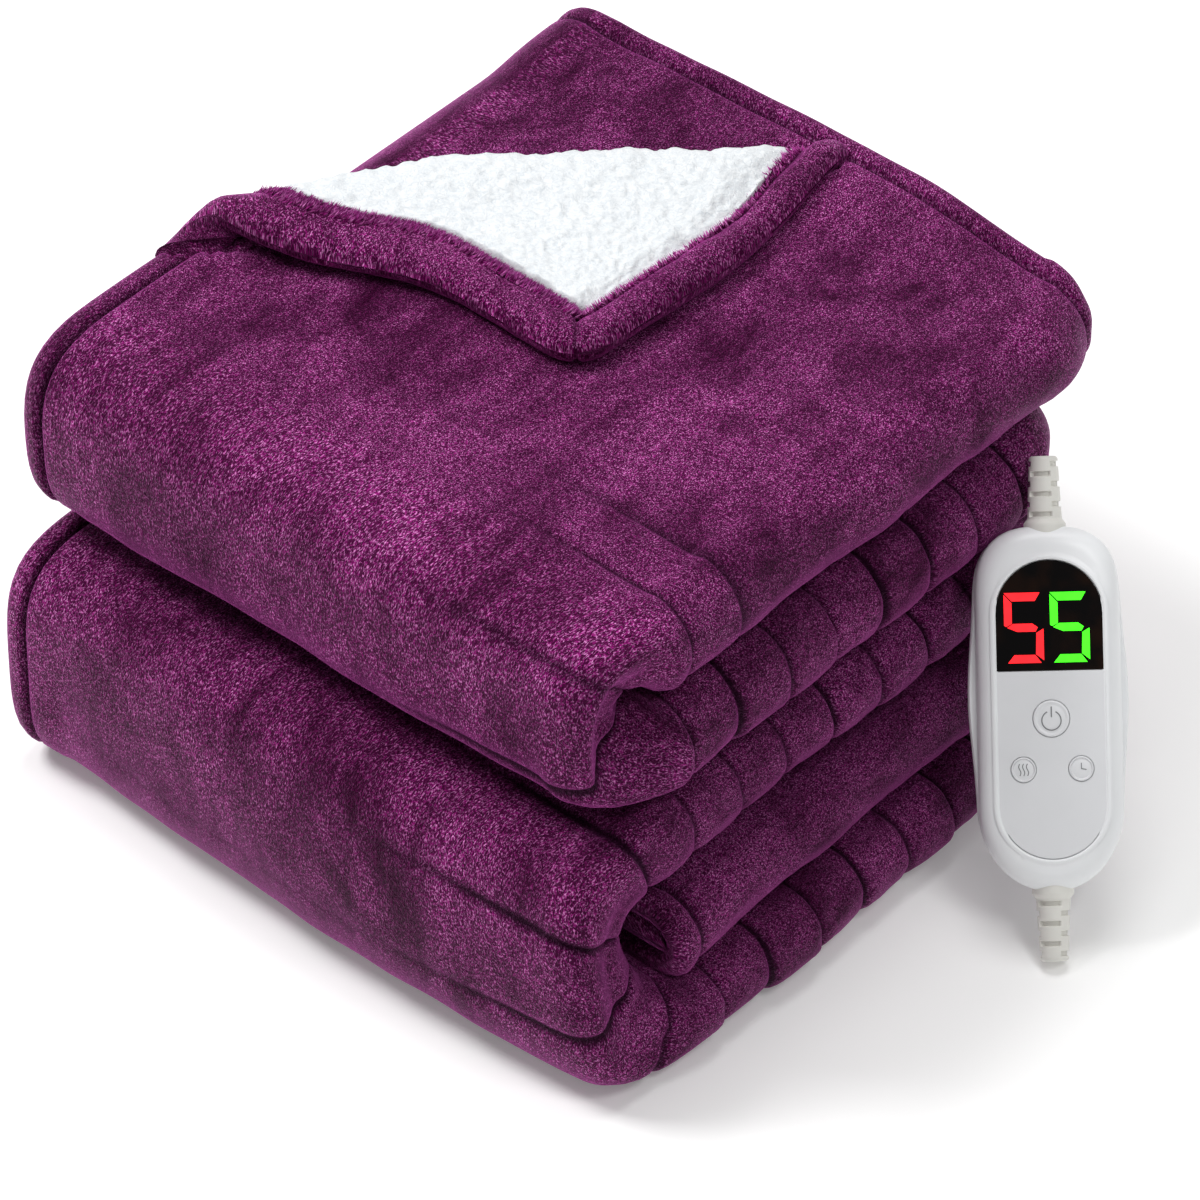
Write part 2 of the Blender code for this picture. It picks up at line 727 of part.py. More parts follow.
def handset_frame(collection):
    """An empty at the lower strain relief's tip: +X across the face, +Y along it, +Z out of it."""
    across = Vector((math.cos(HANDSET_TURN), math.sin(HANDSET_TURN), 0.0))
    level = Vector((-math.sin(HANDSET_TURN), math.cos(HANDSET_TURN), 0.0))
    along = level * math.cos(HANDSET_LEAN) + Vector((0, 0, math.sin(HANDSET_LEAN)))
    out = across.cross(along)
    lift = (RELIEF_TIP_RADIUS - 0.0008) * math.cos(HANDSET_LEAN)
    side_lift = RELIEF_TIP_RADIUS * math.cos(HANDSET_LEAN) - 0.0008 * math.sin(HANDSET_LEAN)
    foot = Vector((*HANDSET_FOOT, max(lift, side_lift)))
    frame = bpy.data.objects.new("handset_frame", None)
    frame.matrix_world = Matrix.Translation(foot) @ Matrix((across, along, out)).transposed().to_4x4()
    collection.objects.link(frame)
    return frame


def make_handset(collection, cutters, materials):
    frame = handset_frame(collection)
    front_levels = [
        (0.0, GAP / 2),
        (0.0, 0.0030),
        (0.0010, 0.0062),
        (0.0028, 0.0086),
        (0.0050, 0.0102),
        (0.0072, FRONT_DEPTH),
    ]
    rear_levels = [
        (0.0, -GAP / 2),
        (0.0, -0.0040),
        (0.0016, -0.0088),
        (0.0048, -0.0124),
        (0.0095, -REAR_DEPTH),
    ]
    front = housing_shell("front_shell", 0.0, front_levels, collection, materials["housing"])
    rear = housing_shell("rear_shell", GRIP_BULGE, rear_levels, collection, materials["housing"])
    front.parent = frame
    rear.parent = frame
    panel, holes, window = panel_outlines()
    radius = PANEL_WIDTH / 2
    recess = arc((0.0, PANEL_START + radius), radius, 180, 360, 21)
    recess += arc((0.0, PANEL_END - radius), radius, 0, 180, 21)
    floor = FRONT_DEPTH - PANEL_RECESS
    cutter = as_guide(plate("panel_recess", [recess], floor, 0.005, cutters, None))
    cutter.parent = frame
    boolean(front, "DIFFERENCE", cutter)
    low = floor + GAP
    plates = {
        "face_panel": plate("face_panel", [panel, *holes], low, PANEL_THICKNESS,
                            collection, materials["panel"]),
        "display_window": plate("display_window", [window], low, PANEL_THICKNESS,
                                collection, materials["window"]),
    }
    for piece in plates.values():
        piece.parent = frame
    make_buttons(front, collection, cutters, materials["panel"])
    for name, start, direction in (("upper_relief", HOUSING_END, 1), ("lower_relief", HOUSING_START, -1)):
        make_relief(name, start, direction, frame, collection, cutters, materials["relief"])
        seat = [(RELIEF_BASE_RADIUS + GAP, -RELIEF_SEAT - GAP), (RELIEF_BASE_RADIUS + GAP, 0.02)]
        socket = as_guide(turned_solid(name + "_seat", seat, 20, cutters))
        socket.parent = frame
        socket.location = (0.0, start, 0.0)
        socket.rotation_euler = (-direction * math.pi / 2, 0.0, 0.0)
        boolean(front, "DIFFERENCE", socket)
        boolean(rear, "DIFFERENCE", socket)


def centre_on_floor(parts, cutters):
    """Moves everything so that the origin is the middle of the bounding box's floor."""
    bpy.context.view_layer.update()
    graph = bpy.context.evaluated_depsgraph_get()
    low = Vector((1.0, 1.0, 1.0))
    high = -low
    for obj in parts.objects:
        if obj.type != "MESH":
            continue
        evaluated = obj.evaluated_get(graph)
        for vertex in evaluated.to_mesh().vertices:
            point = evaluated.matrix_world @ vertex.co
            low = Vector(map(min, low, point))
            high = Vector(map(max, high, point))
        evaluated.to_mesh_clear()
    shift = Vector(((low.x + high.x) / 2, (low.y + high.y) / 2, low.z))
    for obj in [*parts.objects, *cutters.objects]:
        if obj.parent is None:
            obj.location -= shift


def main():
    clear_scene()
    parts = new_collection("heated_throw")
    cutters = new_collection("cutters")
    materials = {
        "flannel": new_material("flannel", (0.105, 0.010, 0.060), 0.75),
        "sherpa": new_material("sherpa", (0.80, 0.82, 0.84), 0.9),
        "housing": new_material("housing", (0.74, 0.76, 0.79), 0.4),
        "panel": new_material("panel", (0.68, 0.70, 0.73), 0.45),
        "window": new_material("window", (0.006, 0.005, 0.005), 0.12),
        "relief": new_material("relief", (0.68, 0.67, 0.60), 0.55),
    }
    throw = throw_band(parts, materials["flannel"])
    boolean(throw, "DIFFERENCE", corner_cutter(cutters))
    boolean(throw, "DIFFERENCE", edge_cutter(cutters))
    boolean(throw, "UNION", sprung_edge(cutters))
    boolean(throw, "UNION", turned_corner(cutters))
    sherpa_panel(parts, materials["sherpa"])
    make_handset(parts, cutters, materials)
    centre_on_floor(parts, cutters)


main()
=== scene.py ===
"""Dressed model of a heated throw, folded into a stack, with its handset propped against it.

Every length is in metres. The stack's front folds face -Y, and its closed side faces +X.
"""

import math

import bmesh
import bpy
import numpy as np
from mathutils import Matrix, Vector


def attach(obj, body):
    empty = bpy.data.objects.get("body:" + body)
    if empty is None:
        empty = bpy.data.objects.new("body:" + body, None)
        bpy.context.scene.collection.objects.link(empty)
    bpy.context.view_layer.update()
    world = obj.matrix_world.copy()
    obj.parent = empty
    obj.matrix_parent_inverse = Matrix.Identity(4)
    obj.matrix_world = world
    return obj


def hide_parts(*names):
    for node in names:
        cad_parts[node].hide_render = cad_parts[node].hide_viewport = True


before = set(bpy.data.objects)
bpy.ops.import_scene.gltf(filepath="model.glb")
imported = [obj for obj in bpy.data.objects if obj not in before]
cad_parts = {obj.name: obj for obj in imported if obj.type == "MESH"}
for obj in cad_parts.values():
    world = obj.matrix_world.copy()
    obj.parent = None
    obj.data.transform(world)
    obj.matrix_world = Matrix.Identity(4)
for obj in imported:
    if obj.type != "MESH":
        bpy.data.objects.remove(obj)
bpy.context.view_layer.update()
BODY = "throw_and_handset"
scene = bpy.context.scene

# Camera ---------------------------------------
# A long lens, well back and above the stack's near corner, so the folds show with hardly any
# perspective, as in the photograph.
CAMERA_TURN = math.radians(41)
CAMERA_RISE = math.radians(41)
CAMERA_DISTANCE = 3.361
CAMERA_TARGET = Vector((-0.0175, -0.0100, 0.0940))
CAMERA_REACH = 50
LENS_MM = 240
SENSOR_MM = 36


def new_object(name, data):
    """A new object of the scene, at its origin."""
    thing = bpy.data.objects.new(name, data)
    scene.collection.objects.link(thing)
    return thing


def slope(turn, rise):
    """A unit vector that rises from -Y by one angle and is turned about the vertical by another."""
    level = math.cos(rise)
    return np.array([math.sin(turn) * level, -math.cos(turn) * level, math.sin(rise)])


lens = bpy.data.cameras.new("camera")
lens.sensor_width = SENSOR_MM
lens.lens = LENS_MM
lens.clip_end = CAMERA_REACH
camera = new_object("camera", lens)
backwards = Vector(slope(CAMERA_TURN, CAMERA_RISE))
camera.location = CAMERA_TARGET + backwards * CAMERA_DISTANCE
camera.rotation_euler = backwards.to_track_quat("Z", "Y").to_euler()
scene.camera = camera

# Floor and light ------------------------------
# A seamless white floor, a large soft light high on the left, a weaker one on the right, and an
# even white surround, as in a studio shot of bedding.
FLOOR_REACH = 30
FLOOR_COLOUR = (0.93, 0.93, 0.925, 1)
FLOOR_GLOW = 0.16
SURROUND_STRENGTH = 0.27
LIGHT_AIM = Vector((0, 0, 0.1))
LIGHTS = [  # name, place, width, power in watts
    ("key_light", (-1.35, -0.70, 2.2), 0.8, 50),
    ("top_light", (-0.3, 0.5, 2.6), 1.2, 25),
    ("right_fill", (1.5, -0.1, 2.3), 0.7, 13),
]


def set_inputs(node, inputs):
    """Gives a node's inputs their values, and wires those that are another node's output."""
    for name, value in inputs.items():
        if isinstance(value, bpy.types.NodeSocket):
            node.id_data.links.new(value, node.inputs[name])
        else:
            node.inputs[name].default_value = value


def new_material(name):
    """A new material, its shader, and a maker of further nodes in its tree."""
    material = bpy.data.materials.new(name)
    material.use_nodes = True
    tree = material.node_tree

    def add(kind, inputs, output, **settings):
        node = tree.nodes.new("ShaderNode" + kind)
        for key, value in settings.items():
            setattr(node, key, value)
        set_inputs(node, inputs)
        return node.outputs[output]

    return material, tree.nodes["Principled BSDF"], add


floor_mesh = bpy.data.meshes.new("floor")
floor_corners = np.array([(-1, -1, 0), (1, -1, 0), (1, 1, 0), (-1, 1, 0)]) * FLOOR_REACH
floor_mesh.from_pydata(floor_corners.tolist(), [], [(0, 1, 2, 3)])
floor = new_object("floor", floor_mesh)
floor_paint, floor_shader, _ = new_material("floor_paint")
set_inputs(floor_shader, {"Base Color": FLOOR_COLOUR, "Roughness": 0.9})
set_inputs(floor_shader, {"Emission Color": FLOOR_COLOUR, "Emission Strength": FLOOR_GLOW})
floor_mesh.materials.append(floor_paint)

surround = bpy.data.worlds.new("surround")
surround.use_nodes = True
white_glow = {"Color": (1.0, 1.0, 1.0, 1), "Strength": SURROUND_STRENGTH}
set_inputs(surround.node_tree.nodes["Background"], white_glow)
scene.world = surround
scene.view_settings.view_transform = "Standard"

for name, place, width, power in LIGHTS:
    lamp = bpy.data.lights.new(name, "AREA")
    lamp.energy = power
    lamp.size = width
    light = new_object(name, lamp)
    light.location = place
    light.rotation_euler = (LIGHT_AIM - Vector(place)).to_track_quat("-Z", "Y").to_euler()

# Throw ----------------------------------------
# One sheet of flannel and sherpa, quilted crosswise in channels for its heating wires and hemmed
# all round. It is folded in three across its width, and that band back and forth in five layers.
STACK_PLACE = np.array([-0.017482, -0.010, 0.0])
LEFT_EDGE = -0.194  # x of the free hem
LEFT_SWELL = 0.0045  # how far the free hem swells out where the band turns down
SWELL_PLACE, SWELL_RUN = 0.27, 0.10
BACK_EDGE = 0.190  # y of the hemmed end on top
HEM_WIDTH = 0.021
HEM_SEAM = 0.0125  # how far in the hem's seam lies on the flannel side
HEM_GROOVE = 0.0038
END_BEAD = 0.0018  # how full the hem is at the band's ends
SIDE_BEAD = 0.0008  # and along its free edge
END_ROUNDING = 0.0062
FACE_START = 0.026  # how far in the outer face starts, past the hem
PLY_AIR = 0.0006  # half of the air between two plies
SLIT = 0.001  # air between the free hem and the fold below it
CHANNEL = 0.030
UNSTITCHED_END = 0.245
UNSTITCHED_TAIL = 0.290
STITCH_WIDTH = 0.0016
SHADE_LINE_WIDTH = 0.0013  # width of the painted shade along a stitch line or hem groove
SIDE_PINCH = 0.0024
SIDE_BILLOW = 0.0004
FACE_PINCH = 0.0016
FACE_BILLOW = 0.0006
DENTS, SMALL_DENTS = 0.0019, 0.0006
SIDE_DENTS, SMALL_SIDE_DENTS = 0.0012, 0.0005
PLUMP = 0.0013  # how much fuller one channel is than another
WANDER = 0.0018  # how far the closed side wanders
DISH = 0.0145  # depth that the closed side is pushed in at the upper front fold
DISH_LIP = 0.0024
GATHERS, GATHER_COUNT = 0.0027, 2.9
LOWER_DISH = 0.45  # the same at the lower front fold, as a share
INNER_DRAW, LOWER_INNER_DRAW = 0.0080, 0.0036  # how far the plies inside draw back there
LAYERS = {  # height of its middle, half thickness, right edge
    "top": (0.1905, 0.0225, 0.1255),
    "second": (0.1420, 0.0225, 0.1300),
    "third": (0.0965, 0.0185, 0.1300),
    "tucked": (0.0560, 0.0190, 0.1400),
    "bottom": (0.0182, 0.0182, 0.1510),
}
FOLDS = [  # layer, next layer, centre y, reach, squareness, turn, draw at the tip, belly
    ("top", "second", -0.094, 0.049, 3.0, 1, 0.0, 0.002),
    ("second", "third", 0.131, 0.045, 2.6, -1, 0.024, 0.0),
    ("third", "bottom", -0.104, 0.059, 4.0, 1, 0.0, 0.010),
    ("bottom", "tucked", 0.139, 0.040, 2.6, 1, 0.010, 0.0),
]
PATH_STEP = 0.0005
TIGHTEST_FOLD = 0.0012  # radius left inside a fold
FIRST_FOLD_DRAW = 0.0115  # how far the first front fold's closed side is drawn in
TUCKED_END = -0.110
TUCKED_DROOP = 0.004
TUCKED_RUN = 0.05
CORNER_PLAN = 0.016  # how far the back right corner is rounded off in plan
CORNER_RUN = 0.045
END_DROOP = 0.004
END_LIFT = 0.0085  # how far the left part of the hemmed end stands up, under the turned corner
SPRUNG_EDGE = -0.184  # x of the edge that the turned corner has left bare
SPRUNG_LENGTH = 0.236  # how far that edge runs from the back
SPRUNG_SHIFT = 0.0165
FOLD_DISTANCE = 0.121  # of the turned corner's fold line from the stack's middle
FOLD_NORMAL = math.radians(133.6)
ACROSS = np.array([math.cos(FOLD_NORMAL), math.sin(FOLD_NORMAL)])
ALONG = np.array([math.sin(FOLD_NORMAL), -math.cos(FOLD_NORMAL)])
LEFT_BEND = -0.024
BACK_BEND = 0.020
BEND_RUN = 0.10
ROLL = 0.0085
TRENCH_DEPTHS = (0.0155, 0.0215)  # of the dip under the roll: at its middle, and by the left edge
PLY = LAYERS["top"][1] * 2 / 3
PLY_HEIGHT = LAYERS["top"][0] + LAYERS["top"][1] - PLY / 2


def mix(first, second, share):
    """first where the share is 0, second where it is 1, and in proportion between."""
    return first + (second - first) * share


def smooth_step(share):
    """0 below 0, 1 above 1, and an S-curve between."""
    share = np.clip(share, 0.0, 1.0)
    return share * share * (3.0 - 2.0 * share)


def bell(distance, width):
    """1 at no distance, falling off with e to the minus square of distance over width."""
    return np.exp(-((distance / width) ** 2))


def arch(share):
    """Half a sine wave: 0 at share 0, 1 half way, and 0 again at share 1."""
    return np.sin(math.pi * np.clip(share, 0, 1))


def quarter_circle(share, least=0.0):
    """Height of a quarter circle that starts upright at share 0 and is 1 from share 1 on."""
    return np.sqrt(np.clip(1 - (1 - np.minimum(share, 1)) ** 2, least, 1))


def cloud(u, v, size, seed):
    """Soft noise from -1 to 1: random values on a square lattice, joined by S-curves."""
    values = np.random.default_rng(seed).uniform(-1, 1, (97, 89))
    u = np.asarray(u / size + 1000.0)
    v = np.asarray(v / size + 1000.0)
    i = np.floor(u).astype(int)
    j = np.floor(v).astype(int)
    fu = smooth_step(u - i)
    fv = smooth_step(v - j)
    near = mix(values[i % 97, j % 89], values[(i + 1) % 97, j % 89], fu)
    far = mix(values[i % 97, (j + 1) % 89], values[(i + 1) % 97, (j + 1) % 89], fu)
    return mix(near, far, fv)


def band_path():
    """The band's mid-line, as columns: y, z, heading, outer, inner, right edge, belly.

    It runs straight along each layer and in a half circle round each fold. The outer side of a fold
    follows a squarish superellipse instead.
    """
    blocks = []
    y = BACK_EDGE

    def straight(layer, start, end):
        height, half, right = LAYERS[layer]
        count = int(abs(end - start) / PATH_STEP) + 2
        heading = blocks[-1][-1, 2] if blocks else math.pi
        fixed = [np.full(count, v) for v in (height, heading, half, half, right, 0.0)]
        blocks.append(np.column_stack([np.linspace(start, end, count), *fixed]))

    for layer, following, centre_y, reach, power, turn, draw, belly in FOLDS:
        straight(layer, y, centre_y)
        start, end = LAYERS[layer], LAYERS[following]
        radius = abs(start[0] - end[0]) / 2
        share = np.linspace(0, 1, int(math.pi * radius / PATH_STEP) + 2)
        heading = blocks[-1][-1, 2] + turn * math.pi * share
        side, rise = np.sin(heading), -np.cos(heading)
        thick = mix(start[1], end[1], share)
        squarish = np.abs(side / reach) ** power + np.abs(rise / (radius + thick)) ** power
        outside = squarish ** (-1 / power) - radius
        inside = np.minimum(thick, radius - TIGHTEST_FOLD)
        outer, inner = (outside, inside) if turn > 0 else (inside, outside)
        tip = arch(share) ** 2
        right = mix(start[2], end[2], smooth_step(share)) - draw * tip
        ys = centre_y + turn * radius * side
        zs = (start[0] + end[0]) / 2 + turn * radius * rise
        blocks.append(np.column_stack([ys, zs, heading, outer, inner, right, belly * tip]))
        y = centre_y
    straight("tucked", y, TUCKED_END)
    path = np.concatenate(blocks)
    length = np.hypot(np.diff(path[:, 0]), np.diff(path[:, 1]))
    length = np.concatenate([[0], np.cumsum(length)])
    keep = np.concatenate([[True], np.diff(length) > 1e-7])
    bounds = np.cumsum([len(block) for block in blocks]) - 1
    return path[keep], length[keep], length[bounds]


def row_lengths(total):
    """Where the mesh has rows along the band: in each channel they crowd towards its stitches."""
    hem = np.array([0, 0.4, 1.2, 2.4, 4, 6, 8, 9.8, 11, 12, 13, 14, 15.4, 18, 22, 27]) / 1000
    channel = np.array([0, 0.9, 2.1, 4.2, 7.5, 11.5, 15, 18.5, 22.5, 25.8, 27.9, 29.1]) / 1000
    stitches = np.arange(UNSTITCHED_END, total - UNSTITCHED_TAIL - CHANNEL, CHANNEL)
    first_plain = np.arange(0.0315, UNSTITCHED_END - 0.002, 0.0045)
    start, end = stitches[-1] + CHANNEL, total - 0.031
    last_plain = np.linspace(start, end, int((end - start) / 0.0052))
    channels = (stitches[:, None] + channel).ravel()
    return np.concatenate([hem, first_plain, channels, last_plain, (total - hem)[::-1]])


def corner_limits(beyond):
    """Where the flat sheet's left and back edges lie along the fold, at a distance beyond it."""
    base = beyond + FOLD_DISTANCE
    return (LEFT_EDGE - ACROSS[0] * base) / ALONG[0], (BACK_EDGE - ACROSS[1] * base) / ALONG[1]


FOLD_LOW, FOLD_HIGH = corner_limits(0.0)


def back_share(along):
    """1 at the fold line's back end, in an S-curve down to 0 at BEND_RUN before it."""
    return smooth_step(1.0 - (FOLD_HIGH - along) / BEND_RUN)


def bend(along):
    """How far the fold line leaves its straight course: an S-curve towards each of its ends."""
    left_share = smooth_step(1.0 - (along - FOLD_LOW) / BEND_RUN)
    return LEFT_BEND * left_share + BACK_BEND * back_share(along)


def trench(x, y):
    """Depth of the dip that the roll of the turned corner lies in: S-curves down and up again."""
    along = ALONG[0] * x + ALONG[1] * y
    past = ACROSS[0] * x + ACROSS[1] * y - FOLD_DISTANCE - bend(along)
    by_edge = smooth_step(1.0 - (along - FOLD_LOW) / 0.085)
    depth = mix(*TRENCH_DEPTHS, by_edge) * smooth_step((BACK_EDGE - 0.006 - y) / 0.024)
    far_side = smooth_step((past - 0.008 - 0.043 * by_edge) / 0.016)
    return depth * smooth_step((past + 0.003) / 0.007) * (1.0 - far_side)


# Columns with one value for each row of the mesh, along the band.
path, path_length, zone_ends = band_path()
rows = row_lengths(path_length[-1])
Y, Z, HEADING, OUTER, INNER, RIGHT, BELLY = (
    np.interp(rows, path_length, column)[:, None] for column in path.T
)
L = rows[:, None]
TOTAL = rows[-1]


def zone_share(zone):
    """0 up to the start of a straight or a fold of the band, and 1 from its end on."""
    return np.clip((L - zone_ends[zone - 1]) / (zone_ends[zone] - zone_ends[zone - 1]), 0, 1)


quilted = ((L > UNSTITCHED_END - 0.001) & (L < TOTAL - UNSTITCHED_TAIL)).astype(float)
channel_place = (L - UNSTITCHED_END) / CHANNEL
stitch_number = np.round(channel_place)
from_stitch = (channel_place - stitch_number) * CHANNEL
tightness = quilted * (0.95 + 0.35 * cloud(stitch_number, 0.0, 1.0, 4))
crease = tightness * bell(from_stitch, STITCH_WIDTH)
in_third = 1.0 + 0.9 * ((L > zone_ends[3]) & (L < zone_ends[4]))
billow = quilted * in_third * (np.abs(np.sin(math.pi * channel_place)) ** 0.8 - 0.6)
plump = PLUMP * cloud(np.floor(channel_place), 0.0, 1.0, 5) * quilted
to_end = np.minimum(L, TOTAL - L)
Z = Z - END_DROOP * (1 - smooth_step(L / CORNER_RUN))
in_tuck = (HEADING > 2.5 * math.pi) & (Y < TUCKED_END + TUCKED_RUN)
Z = Z - TUCKED_DROOP * in_tuck * smooth_step((TUCKED_END + TUCKED_RUN - Y) / TUCKED_RUN)
LEFT = LEFT_EDGE - LEFT_SWELL * bell(L - SWELL_PLACE, SWELL_RUN)
RIGHT = RIGHT - CORNER_PLAN * np.clip(1 - L / CORNER_RUN, 0, 1) ** 2 + plump
RIGHT = RIGHT + WANDER * cloud(L, 0.0, 0.05, 6)
RIGHT = RIGHT - FIRST_FOLD_DRAW * arch(zone_share(1) ** 1.5)
upper_front = arch(zone_share(1)) ** 0.8
lower_front = arch(zone_share(5)) ** 0.8
on_top = (L < zone_ends[0]).astype(float)
sprung = smooth_step((SPRUNG_LENGTH - L) / 0.030)

# The band has an outer ply, a middle one and an inner one. Levels are measured out from its
# mid-line, and half_ply is each ply's half thickness.
ply = (OUTER + INNER) / 3
closing = quarter_circle(to_end / END_ROUNDING, 0.02)
bead = END_BEAD * arch(to_end / (HEM_SEAM - 0.001)) - HEM_GROOVE * bell(to_end - HEM_SEAM, 0.0016)
half_ply = (ply / 2 - PLY_AIR) * closing + 0.4 * bead
outer_level = OUTER - ply / 2
middle_level = outer_level - ply
inner_level = -INNER + ply / 2
half_band = (OUTER + INNER) / 2
middle = (OUTER - INNER) / 2
corner_x = RIGHT - half_band
fold_left = LEFT + ply + SLIT + SPRUNG_SHIFT * sprung


def level_run(start, end, count, level):
    """A run of evenly spaced points between two places, without the two themselves."""
    x = start + (end - start) * np.arange(1, count + 1) / (count + 1)
    return x, np.broadcast_to(level, x.shape)


def arc_run(centre_x, centre_n, radius, start, end, count):
    """A run of points on a circle round a centre, from one angle in degrees to another."""
    turns = np.radians(np.linspace(start, end, count))[None, :]
    return centre_x + radius * np.cos(turns), centre_n + radius * np.sin(turns)


def lowered(run, level):
    """The run with its points no higher than a level."""
    return run[0], np.minimum(run[1], level)


def joined(*runs):
    """Runs put end to end, each with a row for every row of the mesh."""
    return [np.concatenate([part + 0 * L for part in parts], axis=1) for parts in zip(*runs)]


def surface_relief(x):
    """Two sizes of soft dents, and the stitch lines' pull, which fades away from the closed side."""
    near_side = 0.10 + 0.90 * smooth_step(1.0 - (corner_x - x) / 0.095)
    dents = DENTS * cloud(x, L, 0.075, 1) + SMALL_DENTS * cloud(x + 0.4 * L, L - 0.4 * x, 0.022, 2)
    return dents + (FACE_BILLOW * billow - FACE_PINCH * crease) * near_side


def plain_edge(run, radius, first_turn, last_turn):
    """Blends a run into one round fold at the left, where the turned corner leaves it bare."""
    centre = SPRUNG_EDGE + half_band - PLY_AIR
    turns = np.radians(mix(first_turn, last_turn, np.linspace(0, 1, run[0].shape[1])))
    round_x, round_n = centre + radius * np.cos(turns), middle + radius * np.sin(turns)
    return mix(run[0], round_x, sprung), mix(run[1], round_n, sprung)


# Runs of points, across (x) and out (n), go once round the band's cross-section. The outer face
# runs from the free hem to the closed side.
face_x, face_n = level_run(LEFT + FACE_START, corner_x, 62, outer_level + half_ply)
belly_share = np.clip((face_x - LEFT - HEM_WIDTH) / (corner_x - LEFT - HEM_WIDTH), 0, 1)
swell = BELLY * (0.8 * arch(belly_share) + 0.4 * belly_share)
face_n = face_n + surface_relief(face_x) + swell + 0.6 * bead
hem_offsets = np.array([[9.3, 10.6, 11.6, 12.5, 13.4, 14.4, 16, 19.5, 23.5]]) / 1000
hem_bead = SIDE_BEAD * arch(hem_offsets / (HEM_SEAM - 0.001))
hem_bead = hem_bead - HEM_GROOVE * bell(hem_offsets - HEM_SEAM, 0.0014)
hem = (LEFT + hem_offsets, outer_level + half_ply + hem_bead + 0.6 * bead)
edge = arc_run(LEFT + half_ply, outer_level, half_ply, 180, 100, 6)

# The closed side is a half circle that the stitches pull in, dished and gathered at front folds.
side_turns = np.radians(np.linspace(90, -90, 30))[None, :]
side_arc = side_turns * 0.02
side_swell = SIDE_DENTS * cloud(side_arc, L, 0.03, 3)
side_swell = side_swell + SMALL_SIDE_DENTS * cloud(side_arc, L, 0.007, 7)
side_swell = side_swell + 0.4 * BELLY * np.clip(np.sin(side_turns), 0, 1)
side_swell = side_swell + 0.6 * bead * np.sin(side_turns) ** 2
across_side = np.cos(side_turns) ** 0.6
side_pull = mix(FACE_PINCH, SIDE_PINCH, across_side) * crease
side_pull = side_pull - mix(FACE_BILLOW, SIDE_BILLOW, across_side) * billow
fold_radius = half_band - ply / 2 + half_ply
side_radius = fold_radius - side_pull + side_swell
inwards = (1 - np.sin(side_turns)) / 2  # 0 on the band's outer side, 1 on its inner side
gathers = GATHERS * np.cos(2 * math.pi * GATHER_COUNT * inwards)
gathers = gathers * smooth_step((inwards - 0.2) / 0.2) * (1 - inwards)
dish = DISH * smooth_step((inwards - 0.13) / 0.30) - DISH_LIP * bell(inwards - 0.10, 0.10)
dish = (dish - gathers) * (upper_front + LOWER_DISH * lower_front)
side_x = corner_x + side_radius * np.cos(side_turns) - dish * np.cos(side_turns) ** 0.3
side = (side_x, middle + side_radius * np.sin(side_turns))

# The underside goes back to the left fold, and from there the middle ply runs to its own edge
# inside the closed side and back again.
under_x, under_n = level_run(corner_x, fold_left, 12, inner_level - half_ply)
under = (under_x, under_n - 0.3 * surface_relief(under_x))
left_level = (middle_level + inner_level) / 2
left_x, left_n = arc_run(fold_left, left_level, ply / 2 + half_ply, -90, -270, 14)
inner = level_run(fold_left, corner_x - 0.012, 8, middle_level + half_ply)
inner_draw = INNER_DRAW * upper_front + LOWER_INNER_DRAW * lower_front
ply_end = corner_x + half_band - ply / 2 - 2 * half_ply - 0.0010 - inner_draw
ply_edge = arc_run(ply_end, middle_level, half_ply, 90, -90, 6)
inner_return = level_run(corner_x - 0.012, fold_left, 3, middle_level - half_ply)
pocket_radius = np.maximum(ply / 2 - half_ply, 0.0003)
pocket = arc_run(fold_left, left_level, pocket_radius, -270, -90, 3)

# The inner ply's upper side leads into the closed side, and the outer ply's lining out again.
lower_lining = level_run(fold_left, corner_x, 3, inner_level + half_ply)
inside_radius = half_band - ply / 2 - half_ply
inside = arc_run(corner_x - inner_draw, middle, inside_radius, -90, 90, 6)
lining = level_run(corner_x, LEFT + FACE_START, 8, outer_level - half_ply)
below = arc_run(LEFT + half_ply, outer_level, half_ply, 262, 190, 5)

fold_thickness = 0.0012 + 0.0048 * closing
overlap = smooth_step(to_end / 0.006)  # the ply's edge and the fold below it pass each other
outline = plain_edge(joined(edge, hem, (face_x[:, :3], face_n[:, :3])), fold_radius, 180, 92)
left_out, left_in = (left_x[:, :8], left_n[:, :8]), (left_x[:, 8:], left_n[:, 8:])
left_out = plain_edge(left_out, fold_radius - 0.0005 * overlap, -92, -178 - 10 * overlap)
left_in = plain_edge(left_in, fold_radius - fold_thickness, -182 - 10 * overlap, -268)
below = plain_edge(below, fold_radius - fold_thickness / 2, 120, 176)

# The top layer sinks under the roll of the turned corner, and takes the plies below it along.
outline = lowered(outline, OUTER - on_top * trench(outline[0], Y))
sunk_face = np.minimum(face_n, OUTER + 0.003 - trench(face_x, Y) * 1.2)
face_n = np.where(on_top > 0, sunk_face, face_n)
lowest = np.where(on_top > 0, face_n.min(axis=1, keepdims=True), OUTER)
left_in = lowered(left_in, lowest - 0.0022)
inner = lowered(inner, lowest - 0.0025)
ply_edge = lowered(ply_edge, lowest - 0.0025)
lining = lowered(lining, lowest - 0.0015)
outer_face = (face_x[:, 3:], face_n[:, 3:])
middle_ply = [left_out, left_in, inner, ply_edge, inner_return, pocket]
ring_x, ring_n = joined(
    outline, outer_face, side, under, *middle_ply, lower_lining, inside, lining, below
)
ring_y = Y + np.sin(HEADING) * ring_n
lift = END_LIFT * (1 - smooth_step((ring_x - 0.015) / 0.085))
lift = lift * (1 - smooth_step((L - 0.004) / 0.060))
ring_z = np.maximum(Z - np.cos(HEADING) * ring_n + lift, 0.0002)
throw_rings = np.stack([ring_x, ring_y, ring_z], axis=-1) + STACK_PLACE


